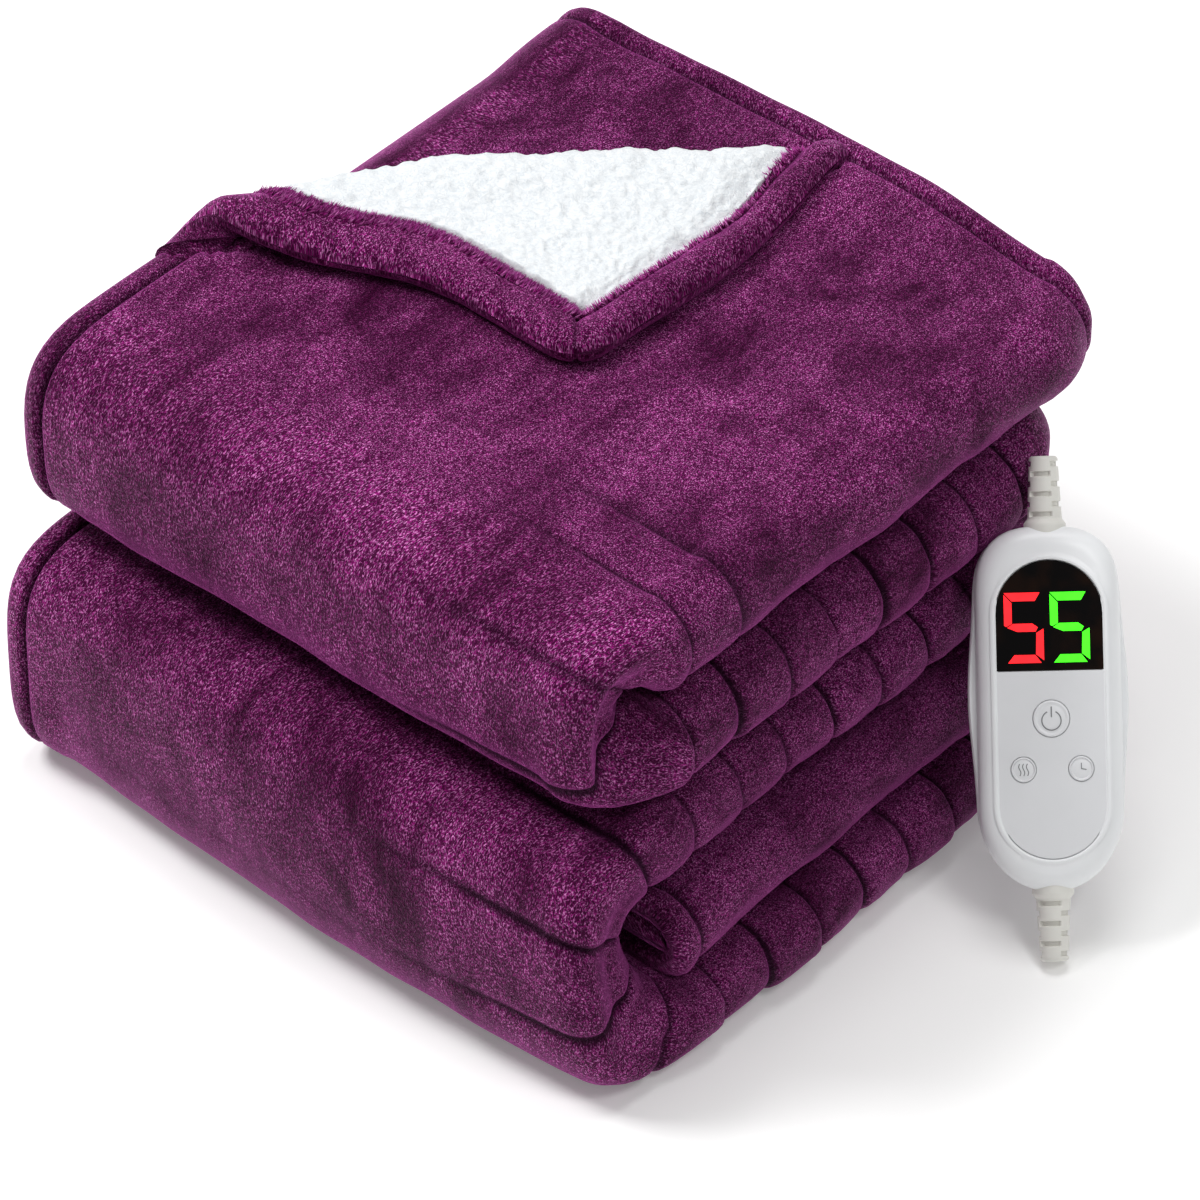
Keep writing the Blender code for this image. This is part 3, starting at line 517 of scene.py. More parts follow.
def new_piece(name, points, faces, material, uv=None, crease_shade=None, smooth=True):
    """A mesh object with its faces turned outwards and its UV map in metres.

    The per-point crease shade values are 1 on a line of stitches or a hem groove and 0 away from
    them; the cloth's material darkens those lines with painted shade, as they lie in creases.
    """
    mesh = bpy.data.meshes.new(name)
    mesh.from_pydata(points.reshape(-1, 3).tolist(), [], faces)
    if uv is not None:
        corners = np.empty(len(mesh.loops), int)
        mesh.loops.foreach_get("vertex_index", corners)
        uv_map = mesh.uv_layers.new(name="cloth")
        uv_map.data.foreach_set("uv", uv.reshape(-1, 2)[corners].ravel())
    if crease_shade is not None:
        crease_shades = mesh.attributes.new("crease_shade", "FLOAT", "POINT")
        crease_shades.data.foreach_set("value", crease_shade.ravel().astype(np.float32))
    shell = bmesh.new()
    shell.from_mesh(mesh)
    bmesh.ops.recalc_face_normals(shell, faces=shell.faces)
    shell.to_mesh(mesh)
    shell.free()
    if smooth:
        mesh.shade_smooth()
    mesh.materials.append(material)
    return new_object(name, mesh)


def skin(name, rings, material, uv=None, crease_shade=None):
    """A closed skin: quads between neighbouring rings, and a cap on the first and the last ring."""
    count, around = rings.shape[:2]
    index = np.arange(count * around).reshape(count, around)
    ahead = np.roll(index, -1, axis=1)
    quads = np.stack([index[:-1], ahead[:-1], ahead[1:], index[1:]], axis=-1).reshape(-1, 4)
    faces = [*quads.tolist(), index[0].tolist(), index[-1].tolist()]
    return new_piece(name, rings, faces, material, uv, crease_shade)


def noise(add, place, scale, detail, roughness=0.5, distortion=0.0):
    """Cloudy noise from 0 to 1: layers of it, each finer and weaker than the last."""
    inputs = {"Vector": place, "Scale": scale, "Detail": detail}
    return add("TexNoise", {**inputs, "Roughness": roughness, "Distortion": distortion}, "Fac")


def ramp(add, source, *stops):
    """A colour ramp over source, from (position, grey or colour) stops."""
    colours = add("ValToRGB", {"Fac": source}, "Color")
    elements = colours.node.color_ramp.elements
    while len(elements) < len(stops):
        elements.new(0.5)
    for element, (position, colour) in zip(elements, stops):
        element.position = position
        element.color = (*colour, 1) if isinstance(colour, tuple) else (colour, colour, colour, 1)
    return colours


def blend(add, share, first, second):
    """The first colour where the share is 0, and the second where it is 1."""
    return add("Mix", {"Factor": share, "A": first, "B": second}, "Result", data_type="RGBA")


def combine(add, operation, first, second):
    """One sum, difference or product of two values."""
    return add("Math", {0: first, 1: second}, "Value", operation=operation)


def flannel_material():
    """Sheared pile in brushed patches: dark seen along the hairs, and bright seen across them with
    painted sheen.

    Large clouds are the brushed patches, streaks run along the nap, and the ridges of fine
    stretched noise are the clumps of pile, with painted shade between them and painted glints
    at their tips. Stitch lines and hem grooves are darkened with painted shade.
    """
    material, shader, add = new_material("plum_flannel")
    place = add("UVMap", {}, "UV", uv_map="cloth")
    fall = {"Vector": place, "Scale": (1.0, 0.32, 1.0), "Rotation": (0, 0, 0.12)}
    nap = {"Vector": place, "Scale": (1.0, 0.80, 1.0), "Rotation": (0, 0, 0.80)}
    streaks = noise(add, add("Mapping", fall, "Vector"), 72.0, 4.0, 0.6, 0.6)
    clumps = noise(add, add("Mapping", nap, "Vector"), 940.0, 1.4, 0.5, 0.8)
    glints = noise(add, place, 1500.0, 1.0)
    drift_tone = ramp(add, noise(add, place, 8.0, 2.0, 0.5, 0.8), (0.38, 0.0), (0.62, 1.0))
    patch_tone = ramp(add, noise(add, place, 18.0, 4.0, 0.62, 1.4), (0.38, 0.0), (0.64, 1.0))
    streak_tone = ramp(add, streaks, (0.34, 0.0), (0.68, 1.0))
    ridges = ramp(add, clumps, (0.37, 0.0), (0.46, 1.0), (0.52, 1.0), (0.61, 0.0))
    painted_glint_spots = ramp(add, glints, (0.48, 0.0), (0.62, 1.0))
    brushed = blend(add, 0.30, blend(add, 0.42, patch_tone, drift_tone), streak_tone)
    base = blend(add, brushed, (0.050, 0.0005, 0.0270, 1), (0.375, 0.0130, 0.2270, 1))
    # Painted shade: between the ridges of the pile the colour is darkened, as if shaded.
    hollow_shade = blend(add, 0.80, base, (0.014, 0.0002, 0.0070, 1))
    # Painted glints: sparse bright spots on the pile's ridges, where light would catch the tips.
    glint_share = combine(add, "MULTIPLY", combine(add, "MULTIPLY", ridges, brushed), painted_glint_spots)
    with_painted_glints = blend(add, glint_share, blend(add, ridges, hollow_shade, base), (0.95, 0.360, 0.80, 1))
    # Painted sheen: the colour brightens towards a lilac rim where the surface is seen edge-on.
    sheen_share = ramp(add, add("LayerWeight", {"Blend": 0.32}, "Facing"), (0.36, 0.0), (0.92, 0.85))
    with_painted_sheen = blend(add, sheen_share, with_painted_glints, (0.54, 0.090, 0.41, 1))
    # Painted shade: along stitch lines and hem grooves the colour goes nearly black.
    crease_shade_share = ramp(add, add("Attribute", {}, "Fac", attribute_name="crease_shade"), (0.0, 0.0), (0.85, 0.93))
    pile_height = combine(add, "ADD", ridges, glints)
    pile = add("Bump", {"Height": pile_height, "Strength": 1.0, "Distance": 0.0010}, "Normal")
    lay = {"Height": streaks, "Normal": pile, "Strength": 0.6, "Distance": 0.0040}
    looks = {
        "Base Color": blend(add, crease_shade_share, with_painted_sheen, (0.010, 0.0005, 0.006, 1)),
        "Roughness": 0.50,
        "Specular IOR Level": 0.09,
        "Specular Tint": (1.0, 0.45, 0.90, 1),
        "Sheen Weight": 0.08,
        "Sheen Roughness": 0.30,
        "Sheen Tint": (1.0, 0.20, 0.80, 1),
        "Normal": add("Bump", lay, "Normal"),
    }
    set_inputs(shader, looks)
    return material


FLANNEL = flannel_material()
reference = len(rows) // 3
around = np.hypot(np.diff(ring_x[reference]), np.diff(ring_n[reference]))
ring_length = np.concatenate([[0], np.cumsum(around)])
throw_uv = np.stack(np.broadcast_arrays(ring_length[None, :], L), axis=-1)
# Painted shade along the stitch lines, stronger towards the closed side, and along the hem grooves.
by_side = 0.15 + 0.85 * smooth_step(1.0 - (corner_x - ring_x) / 0.11)
end_groove_shade = bell(to_end - HEM_SEAM, SHADE_LINE_WIDTH)
edge_groove_shade = bell(ring_x - LEFT - HEM_SEAM, SHADE_LINE_WIDTH) * (L > SPRUNG_LENGTH)
throw_crease_shade = tightness * bell(from_stitch, SHADE_LINE_WIDTH) * by_side + 0.8 * end_groove_shade + 0.8 * edge_groove_shade
throw_piece = skin("throw_cloth", throw_rings, FLANNEL, throw_uv, np.clip(throw_crease_shade, 0, 1))
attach(throw_piece, BODY)
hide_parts("throw")

# Turned-back corner ---------------------------
# The top ply's corner is rolled over a slanting fold and laid back. Its rolled flannel hem frames
# the sherpa side, and a line of overlocking lies between the two, drawn as a groove darkened
# with painted shade.
SETTLE = 0.0035  # how far the corner sinks once it is laid back
SETTLE_RUN = 0.040
LAY_BACK = 0.965  # share of its length that it keeps in plan, as it isn't pulled flat
LEFT_SWING = 0.0095  # how far the roll's left end swings out
BACK_SINK = 0.005
BACK_END_SINK = 0.0060
BACK_THINNING = 0.35
BACK_HEM = 0.0165  # the hem along the sheet's end is rolled tighter
CORNER_RADIUS = 0.019
CORNER_LIFT = 0.0012
CORNER_BEAD = 0.0018
CORNER_GROOVE = 0.0036
CRUMPLE = 0.0009
SMALL_CRUMPLE = 0.0005
CORNER_REACH = float(ACROSS @ (LEFT_EDGE, BACK_EDGE)) - FOLD_DISTANCE


def sheet_place(row, along):
    """How far past the straight fold line a row lies: its bend fades out over 60 mm."""
    return row + (1.0 - smooth_step((row - math.pi * ROLL) / 0.06)) * bend(along)


def row_limits(row):
    """Where rows meet the flat sheet's left and back edges, and the circle of its corner."""
    low, high = corner_limits(row)
    for _ in range(10):
        low = corner_limits(sheet_place(row, low))[0]
        high = corner_limits(sheet_place(row, high))[1]
    centre = CORNER_REACH - CORNER_RADIUS * math.sqrt(2)
    rounded = row > centre + CORNER_RADIUS / math.sqrt(2)
    centre_along = (low + high) / 2
    half = np.sqrt(np.clip(CORNER_RADIUS**2 - (row - centre) ** 2, 1e-7, None))
    low = np.where(rounded, centre_along - half, low)
    return low, np.where(rounded, centre_along + half, high)


def turned(row, along, rise):
    """Carries points of the flat ply over the roll and back: straight, a half circle, straight.

    The roll's left end swings outwards and up, and its back end is thinned and sinks.
    """
    shift = bend(along)
    swing = LEFT_SWING * smooth_step(1.0 - (along - FOLD_LOW) / 0.075)
    at_back = back_share(along)
    rise = rise * (1.0 - BACK_THINNING * at_back)
    beyond = sheet_place(row, along) - shift
    turn = np.clip(beyond / ROLL, 0, math.pi)
    back = np.clip(beyond - math.pi * ROLL, 0, None)
    across = np.where(beyond < 0, beyond, (ROLL - rise) * np.sin(turn) - LAY_BACK * back)
    outwards = smooth_step((beyond + 0.004) / 0.007) * (1.0 - 0.70 * smooth_step(turn / math.pi))
    upwards = 0.24 * smooth_step(turn / 2.2) * (1.0 - smooth_step(back / 0.040))
    sink = BACK_SINK * at_back + BACK_END_SINK * smooth_step(1.0 - (FOLD_HIGH - along) / 0.05)
    height = ROLL - (ROLL - rise) * np.cos(turn) - SETTLE * smooth_step(back / SETTLE_RUN)
    height = height + swing * upwards - sink * np.clip(beyond / ROLL, 0, 1)
    height = height - 0.0045 * smooth_step((-row - 0.004) / 0.006)
    along = along - swing * outwards * (1.0 - smooth_step(back / 0.055))
    x, y = (ACROSS[i] * (across + shift + FOLD_DISTANCE) + ALONG[i] * along for i in (0, 1))
    return np.stack([x, y, PLY_HEIGHT + height + CORNER_LIFT], axis=-1) + STACK_PLACE


def edge_distance(row, along):
    """Distance from the sheet's nearest edge, how near a mitre is, and which edge it is."""
    base = sheet_place(row, along) + FOLD_DISTANCE
    left = ACROSS[0] * base + ALONG[0] * along - LEFT_EDGE
    back = BACK_EDGE - ACROSS[1] * base - ALONG[1] * along
    nearest = np.minimum(left, back)
    round_off = CORNER_RADIUS - np.hypot(CORNER_RADIUS - left, CORNER_RADIUS - back)
    in_corner = (left < CORNER_RADIUS) & (back < CORNER_RADIUS)
    mitre = bell(left - back, 0.0022) * smooth_step((0.030 - nearest) / 0.008)
    return np.maximum(np.where(in_corner, round_off, nearest), 0.0), mitre, left < back


def hem_profile(distance, mitre, on_left):
    """Half thickness of the ply from its edge in: a quarter circle, a full hem, then a groove."""
    body = PLY / 2 - 0.0004
    width = np.where(on_left, HEM_WIDTH, BACK_HEM)
    edge = quarter_circle(distance / body)
    puff = CORNER_BEAD * arch(distance / (width - 0.002))
    before = bell(np.minimum(distance - width, 0), 0.0014)
    after = bell(np.maximum(distance - width, 0), np.where(on_left, 0.0017, 0.0050))
    groove = CORNER_GROOVE * before * after
    return body * edge + puff * (1 - 0.6 * mitre) - groove - 0.0016 * mitre * edge


roll_end = math.pi * ROLL
corner_end = CORNER_REACH - CORNER_RADIUS * (math.sqrt(2) - 1)
turned_rows = np.concatenate(
    [
        [-0.016, -0.010, -0.005],
        np.linspace(0, roll_end, 20),
        np.linspace(roll_end, corner_end - 0.006, 52)[1:],
        corner_end - np.array([4.5, 3, 1.8, 0.9, 0.3, 0.0]) / 1000,
    ]
)[:, None]
low_edge, high_edge = row_limits(turned_rows)
hem_share = np.clip(0.034 / (high_edge - low_edge), 0, 0.5)
hem_steps = np.array([[0, 2, 6, 12, 20, 29, 39, 49, 59, 68, 76, 82, 87, 91, 95.5]]) / 100
inner_columns = mix(hem_share, 1 - hem_share, np.linspace(0, 1, 40)[None, :])
left_columns = hem_share * hem_steps
columns = np.concatenate([left_columns, inner_columns, 1 - left_columns[:, ::-1]], axis=1)
columns = mix(low_edge, high_edge, columns)
distance, mitre, on_left_hem = edge_distance(turned_rows, columns)
half_corner = hem_profile(distance, mitre, on_left_hem) * np.where(turned_rows < 0, 0.55, 1.0)
crumple = CRUMPLE * cloud(turned_rows, columns, 0.020, 11)
crumple = crumple + SMALL_CRUMPLE * cloud(turned_rows, columns, 0.008, 12)
fleece_side = -half_corner - crumple + 0.0038 * smooth_step((distance - 0.0205) / 0.002)
nap_side = turned(turned_rows, columns, half_corner + crumple * 0.4)
fleece_side = turned(turned_rows, columns, fleece_side)
corner_rings = np.concatenate([nap_side, fleece_side[:, ::-1]], axis=1)
corner_uv = np.stack([columns + 0.3, turned_rows + 0.2 + 0 * columns], axis=-1)
corner_uv = np.concatenate([corner_uv, corner_uv[:, ::-1] + (0.6, 0.0)], axis=1)
# Painted shade in the groove between the hem and the fleece, and in the mitre's fold.
from_overlock = distance - np.where(on_left_hem, HEM_WIDTH, BACK_HEM + 0.002)
overlock_groove_shade = 0.9 * bell(from_overlock, 0.0022) + 0.5 * mitre
corner_crease_shade = np.concatenate([0 * distance, overlock_groove_shade[:, ::-1]], axis=1)
corner_piece = skin("turned_corner", corner_rings, FLANNEL, corner_uv, corner_crease_shade)
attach(corner_piece, BODY)
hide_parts("throw")

# Sherpa side ----------------------------------
# Curly white fleece, knitted to the flannel's back. It fills the frame of the hem from the roll to
# the tip, and its tufts stand up over the hem's inner edge.
FLEECE_RISE = 0.0016
TUFT = 0.0016
CURL_SIZE = 0.0042
FLEECE_SINK = 0.0036  # how far it sinks beside the back hem


def sherpa_material():
    """White polyester fleece: rough, a little translucent, with shadows between its curls."""
    material, shader, add = new_material("white_sherpa")
    place = add("TexCoord", {}, "Object")
    curls = noise(add, place, 420.0, 4.0, 0.65, 1.6)
    tuft = {"Vector": place, "Scale": 170.0, "Randomness": 1.0}
    tufts = add("TexVoronoi", tuft, "Distance", feature="SMOOTH_F1")
    height = combine(add, "SUBTRACT", curls, tufts)
    looks = {
        "Base Color": ramp(add, curls, (0.28, (0.56, 0.60, 0.635)), (0.58, (0.73, 0.75, 0.765))),
        "Roughness": 0.95,
        "Specular IOR Level": 0.15,
        "Sheen Weight": 0.25,
        "Sheen Roughness": 0.5,
        "Subsurface Weight": 0.12,
        "Subsurface Radius": (0.003, 0.003, 0.003),
        "Normal": add("Bump", {"Height": height, "Strength": 0.55, "Distance": 0.0012}, "Normal"),
    }
    set_inputs(shader, looks)
    return material


fleece_end = (FOLD_HIGH - FOLD_LOW) / 2 - HEM_WIDTH * math.sqrt(2) - 0.0008
fleece_rows = [np.linspace(0.0020, roll_end, 26), np.linspace(roll_end, fleece_end, 84)[1:]]
fleece_rows = np.concatenate(fleece_rows)[:, None]


def fleece_limits(row):
    """Where the fleece ends along a row: at the left hem, and under the back hem's inner edge."""
    low, high = row_limits(row)
    low = low + (HEM_WIDTH - 0.0006) * math.sqrt(2)
    high = high - (BACK_HEM - 0.0010) * math.sqrt(2)
    return low, np.maximum(high, low + 0.001)


low_fleece, high_fleece = fleece_limits(fleece_rows)
fleece_shares = np.concatenate([np.linspace(0, 0.98, 180), np.linspace(0.98, 1, 16)[1:]])[None, :]
fleece_along = mix(low_fleece, high_fleece, fleece_shares)
border = np.minimum(fleece_along - low_fleece, 2.2 * (high_fleece - fleece_along))
to_rim = np.minimum(border, np.minimum(fleece_rows + 0.001, fleece_end - fleece_rows + 0.001))
curl = 0.55 * cloud(fleece_rows, fleece_along, CURL_SIZE, 21)
curl = curl + 0.45 * cloud(fleece_rows, fleece_along, CURL_SIZE / 2, 22)
broad = cloud(fleece_rows, fleece_along, 0.017, 23)
fluff = FLEECE_RISE + TUFT * (0.35 + 0.75 * curl) + 0.0008 * broad
pile_rise = PLY / 2 - 0.0050 * (1 - smooth_step(border / 0.0045))
pile_rise = pile_rise - FLEECE_SINK * (1 - smooth_step((high_fleece - fleece_along) / 0.016))
pile_rise = pile_rise + smooth_step(to_rim / 0.0035) * fluff
fleece_top = turned(fleece_rows, fleece_along, -pile_rise)
fleece_back = turned(fleece_rows, fleece_along, -PLY / 2 + 0.0052)
fleece_rings = np.concatenate([fleece_top, fleece_back[:, ::-1]], axis=1)
fleece_piece = skin("sherpa_fleece", fleece_rings, sherpa_material())
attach(fleece_piece, BODY)
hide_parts("sherpa_panel")

# Loose pile -----------------------------------
# Single hairs of the flannel's pile that stand out where the hem meets the fleece.
HAIR_COUNT = 9000
HAIR_LENGTH = 0.0042
HAIR_WIDTH = 0.00055
LEFT_HEM_SHARE = 0.80


def hairs(name, roots, leans, material, seed):
    """Tapered hairs as thin three-sided spikes: three points round each root and one at its tip."""
    chance = np.random.default_rng(seed)
    count = len(roots)
    leans = leans + chance.normal(0, 0.30, (count, 3))
    leans = leans / np.linalg.norm(leans, axis=1, keepdims=True)
    reach = HAIR_LENGTH * chance.uniform(0.5, 1.15, (count, 1))
    side = np.cross(leans, chance.normal(0, 1, (count, 3)))
    side = side / np.linalg.norm(side, axis=1, keepdims=True)
    other = np.cross(leans, side)
    turns = np.array([0, 2 * math.pi / 3, 4 * math.pi / 3])
    feet = [roots + HAIR_WIDTH * (math.cos(t) * side + math.sin(t) * other) for t in turns]
    points = np.stack([*feet, roots + leans * reach], axis=1)
    first = np.arange(count)[:, None] * 4
    faces = np.concatenate([first + [face] for face in ([0, 1, 3], [1, 2, 3], [2, 0, 3], [2, 1, 0])])
    uv = np.repeat(chance.uniform(0, 0.5, (count, 1, 2)), 4, axis=1)
    return new_piece(name, points, faces.tolist(), material, uv)


chance = np.random.default_rng(31)
hair_row = chance.uniform(0.006, fleece_end + 0.006, HAIR_COUNT)
hair_low, hair_high = row_limits(hair_row)
on_left = chance.uniform(0, 1, HAIR_COUNT) < LEFT_HEM_SHARE
left_inset = HEM_WIDTH - chance.uniform(0.0, 0.0065, HAIR_COUNT)
back_inset = BACK_HEM - chance.uniform(0.0, 0.003, HAIR_COUNT)
inset = np.where(on_left, left_inset, back_inset) * math.sqrt(2)
hair_along = np.where(on_left, hair_low + inset, hair_high - inset)
hair_rise = -hem_profile(*edge_distance(hair_row, hair_along)) + 0.0003
hair_roots = turned(hair_row, hair_along, hair_rise)
inward = np.where(on_left, 1.0, -0.6)[:, None] * np.array([*ALONG, 0])
hair_leans = inward + np.array([*(ACROSS * 0.35), 0.65])
hem_hairs = hairs("hem_hairs", hair_roots, hair_leans, FLANNEL, 32)
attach(hem_hairs, BODY)

# Handset housing ------------------------------
# Two moulded shells of white plastic meet in a seam round the side. The front one has a soft raised
# rim round its panel, and the rear one swells at its sides for a grip.
HANDSET_FOOT = np.array([0.206918, 0.020, 0.003412])
HANDSET_TURN = math.radians(43)
HANDSET_LEAN = math.radians(49)
AXIS_ACROSS = np.array([math.cos(HANDSET_TURN), math.sin(HANDSET_TURN), 0])
AXIS_ALONG = slope(HANDSET_TURN + math.pi, HANDSET_LEAN)
AXIS_OUT = np.cross(AXIS_ACROSS, AXIS_ALONG)
HOUSING_START, HOUSING_END = 0.029, 0.181
HALF_WIDTH = 0.0302
LOWER_END, LOWER_POWER = 0.0355, 2.05  # length and squareness of the rounded lower end
TOP_END, TOP_POWER = 0.031, 2.7
GRIP_CENTRE, GRIP_RUN, GRIP_BULGE = 0.110, 0.031, 0.0032
PANEL_WIDTH = 0.0450
PANEL_START, PANEL_END = 0.0425, 0.1670
FACE = 0.0110  # height of the face over the seam between the shells
REAR_DEPTH = 0.0145
RECESS = 0.0015
FRONT_ROUNDING = 0.0085
REAR_ROUNDING = 0.0100
OUTLINE_POINTS = 192


def on_handset(x, y, z):
    """Handset coordinates, across its face, along it and out of it, as places in the scene."""
    x, y, z = (value[..., None] for value in np.broadcast_arrays(x, y, z))
    return HANDSET_FOOT + x * AXIS_ACROSS + y * AXIS_ALONG + z * AXIS_OUT


def mirrored(right):
    """A closed outline from its right half, with its points spaced evenly from the lowest one."""
    outline = np.concatenate([right, (right * (-1, 1))[::-1][1:-1], right[:1]])
    reach = np.concatenate([[0], np.cumsum(np.hypot(*np.diff(outline, axis=0).T))])
    places = np.linspace(0, reach[-1], OUTLINE_POINTS, endpoint=False)
    return np.column_stack([np.interp(places, reach, outline[:, i]) for i in (0, 1)])


def housing_outline(bulge):
    """Superelliptical ends joined by straight flanks, with a bell-shaped swelling at the grip."""
    turns = np.linspace(0, math.pi / 2, 60)

    def rounded_end(place, length, power):
        x = HALF_WIDTH * np.cos(turns) ** (2 / power)
        return np.column_stack([x, place + length * (1 - np.sin(turns) ** (2 / power))])

    low = rounded_end(HOUSING_START, LOWER_END, LOWER_POWER)[::-1]
    high = rounded_end(HOUSING_END, -TOP_END, TOP_POWER)
    flank_y = np.linspace(low[-1, 1], high[0, 1], 40)[1:-1]
    flank = np.column_stack([np.full(len(flank_y), HALF_WIDTH), flank_y])
    right = np.concatenate([low, flank, high])
    right[:, 0] += bulge * bell(right[:, 1] - GRIP_CENTRE, GRIP_RUN) * (right[:, 0] > 0.01)
    return mirrored(right)


def stadium(offset):
    """The panel's outline: two half circles and two straight sides, grown by offset."""
    radius = PANEL_WIDTH / 2
    turns = np.linspace(-math.pi / 2, math.pi / 2, 120)
    right = (radius + offset) * np.column_stack([np.cos(turns), np.sin(turns)])
    right[:60, 1] += PANEL_START + radius
    right[60:, 1] += PANEL_END - radius
    return mirrored(right)


def drawn_in(outline, inset):
    """The outline scaled about its centre, so that each side moves in by inset."""
    centre = np.array([0.0, (HOUSING_START + HOUSING_END) / 2])
    reach = np.abs(outline - centre).max(axis=0)
    return centre + (outline - centre) * (1 - inset / reach)


def ring_stack(name, rings, material):
    """A closed solid through (outline, height) rings on the handset, with flat caps."""
    points = [on_handset(ring[:, 0], ring[:, 1], height) for ring, height in rings]
    return skin(name, np.stack(points), material)


def plastic(name, colour, roughness, grain=0.00004):
    """Moulded plastic: faint spark-eroded grain, and slight unevenness in tone and gloss."""
    material, shader, add = new_material(name)
    place = add("TexCoord", {}, "Object")
    cloudy = noise(add, place, 38.0, 3.0, 0.6)
    eroded = {"Height": noise(add, place, 5200.0, 1.0), "Strength": 0.35, "Distance": grain}
    darker = tuple(0.965 * c for c in colour)
    looks = {
        "Base Color": ramp(add, cloudy, (0.3, darker), (0.7, colour)),
        "Roughness": ramp(add, cloudy, (0.25, roughness - 0.04), (0.75, roughness + 0.05)),
        "Normal": add("Bump", eroded, "Normal"),
    }
    set_inputs(shader, looks)
    return material


HOUSING_WHITE = plastic("housing_white", (0.90, 0.915, 0.93), 0.34)
ROUNDOVER = np.radians(np.linspace(0, 90, 12))
front_outline = housing_outline(0.0)
front_rings = [(front_outline, 0.00015), (front_outline, 0.0020)]
for t in ROUNDOVER:
    drawn = drawn_in(front_outline, FRONT_ROUNDING * (1 - math.cos(t)))
    front_rings.append((drawn, mix(0.0030, FACE - 0.0001, math.sin(t))))
shoulder = mix(drawn_in(front_outline, FRONT_ROUNDING), stadium(0.0022), 0.6)
front_rings.append((shoulder, FACE))
RIM = [  # offset from the panel's outline, height over the face, both in mm
    (2.2, 0.05), (1.7, 0.35), (1.0, 0.55), (0.4, 0.40), (0.1, 0.05), (0.0, -0.3),
]
front_rings += [(stadium(offset / 1000), FACE + height / 1000) for offset, height in RIM]
front_rings.append((stadium(0.0), FACE - RECESS))
front_piece = ring_stack("housing_front", front_rings, HOUSING_WHITE)
rear_outline = housing_outline(GRIP_BULGE)
rear_rings = [(drawn_in(rear_outline, 0.0006), -0.00015)]
rear_rings += [(rear_outline, -0.0009), (rear_outline, -0.0030)]
for t in ROUNDOVER:
    drawn = drawn_in(rear_outline, REAR_ROUNDING * (1 - math.cos(t)) ** 1.1)
    rear_rings.append((drawn, -mix(0.0042, REAR_DEPTH, math.sin(t))))
rear_piece = ring_stack("housing_rear", rear_rings, HOUSING_WHITE)
for piece, node in ((front_piece, "front_shell"), (rear_piece, "rear_shell")):
    piece.data.set_sharp_from_angle(angle=math.radians(50))
    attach(piece, BODY)
    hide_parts(node)

# Face panel and display -----------------------
# A pale grey film over the lower part, and a glossy black window over a two-digit LED display,
# whose lit bars show through it.
DIGIT_HEIGHT = 0.0292
DIGIT_WIDTH = 0.0163
DIGIT_SLIP = 0.0013  # how far the lower half stands to the right of the upper
DIGIT_BASE = 0.1242
LED_STRENGTH = 1.5
DIGITS = [  # name, place of its left edge, colour
    ("left_digit", -0.0187, (1.0, 0.012, 0.018)),
    ("right_digit", 0.0004, (0.05, 1.0, 0.012)),
]
LIT_BARS = {  # corners of each lit bar, as shares of the digit's width and height
    "top": [(0.0, 1.0), (1.0, 1.0), (0.86, 0.88), (0.22, 0.88)],
    "upper_left": [(0.0, 0.975), (0.215, 0.855), (0.215, 0.560), (0.06, 0.520), (0.0, 0.535)],
    "middle": [
        (0.08, 0.505), (0.25, 0.560), (0.78, 0.560), (0.93, 0.505), (0.78, 0.445), (0.27, 0.445),
    ],
    "lower_right": [(0.96, 0.475), (0.80, 0.425), (0.78, 0.125), (1.0, 0.035), (1.0, 0.485)],
    "bottom": [(0.0, 0.0), (0.93, 0.0), (0.76, 0.115), (0.18, 0.115)],
}


def window_material():
    """Dark acrylic: black and glossy, with faint brown painted reflections in places."""
    material, shader, add = new_material("window_black")
    # Painted reflections: faint brown patches in the black.
    reflection_patches = noise(add, add("TexCoord", {}, "Object"), 60.0, 2.0)
    tone_with_reflections = ramp(add, reflection_patches, (0.45, (0.0025, 0.0020, 0.0022)), (0.75, (0.016, 0.006, 0.003)))
    set_inputs(shader, {"Base Color": tone_with_reflections, "Roughness": 0.12, "Specular IOR Level": 0.14})
    return material


def lit_material(name, colour):
    """A glowing LED bar, whose brightness is a little uneven."""
    material, shader, add = new_material(name)
    uneven = noise(add, add("TexCoord", {}, "Object"), 260.0, 1.0)
    glow = ramp(add, uneven, (0.3, tuple(0.82 * c for c in colour)), (0.65, colour))
    looks = {"Emission Color": glow, "Base Color": glow, "Roughness": 0.3}
    set_inputs(shader, {**looks, "Emission Strength": LED_STRENGTH})
    return material


def flat_shape(name, outlines, low, high, material):
    """Thin slabs with the given outlines, between two heights on the handset."""
    points, faces, first = [], [], 0
    for outline in outlines:
        x, y = np.array(outline).T
        points += [on_handset(x, y, low), on_handset(x, y, high)]
        bottom = np.arange(len(x)) + first
        top = bottom + len(x)
        sides = np.column_stack([bottom, np.roll(bottom, -1), np.roll(top, -1), top])
        faces += [bottom[::-1].tolist(), top.tolist(), *sides.tolist()]
        first += 2 * len(x)
    return new_piece(name, np.concatenate(points), faces, material, smooth=False)


film = plastic("panel_grey", (0.80, 0.81, 0.83), 0.40)
for node, material in (("face_panel", film), ("display_window", window_material())):
    bpy.data.objects[node].data.materials.clear()
    bpy.data.objects[node].data.materials.append(material)

for name, left, colour in DIGITS:
    bars = []
    for corners in LIT_BARS.values():
        x, y = np.array(corners).T
        x = left + DIGIT_SLIP * (y < 0.5) + x * (DIGIT_WIDTH - DIGIT_SLIP)
        bars.append(np.column_stack([x, DIGIT_BASE + y * DIGIT_HEIGHT]))
    light = lit_material(name + "_light", colour)
    digit = flat_shape(name, bars, FACE + 0.00001, FACE + 0.00010, light)
    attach(digit, BODY)

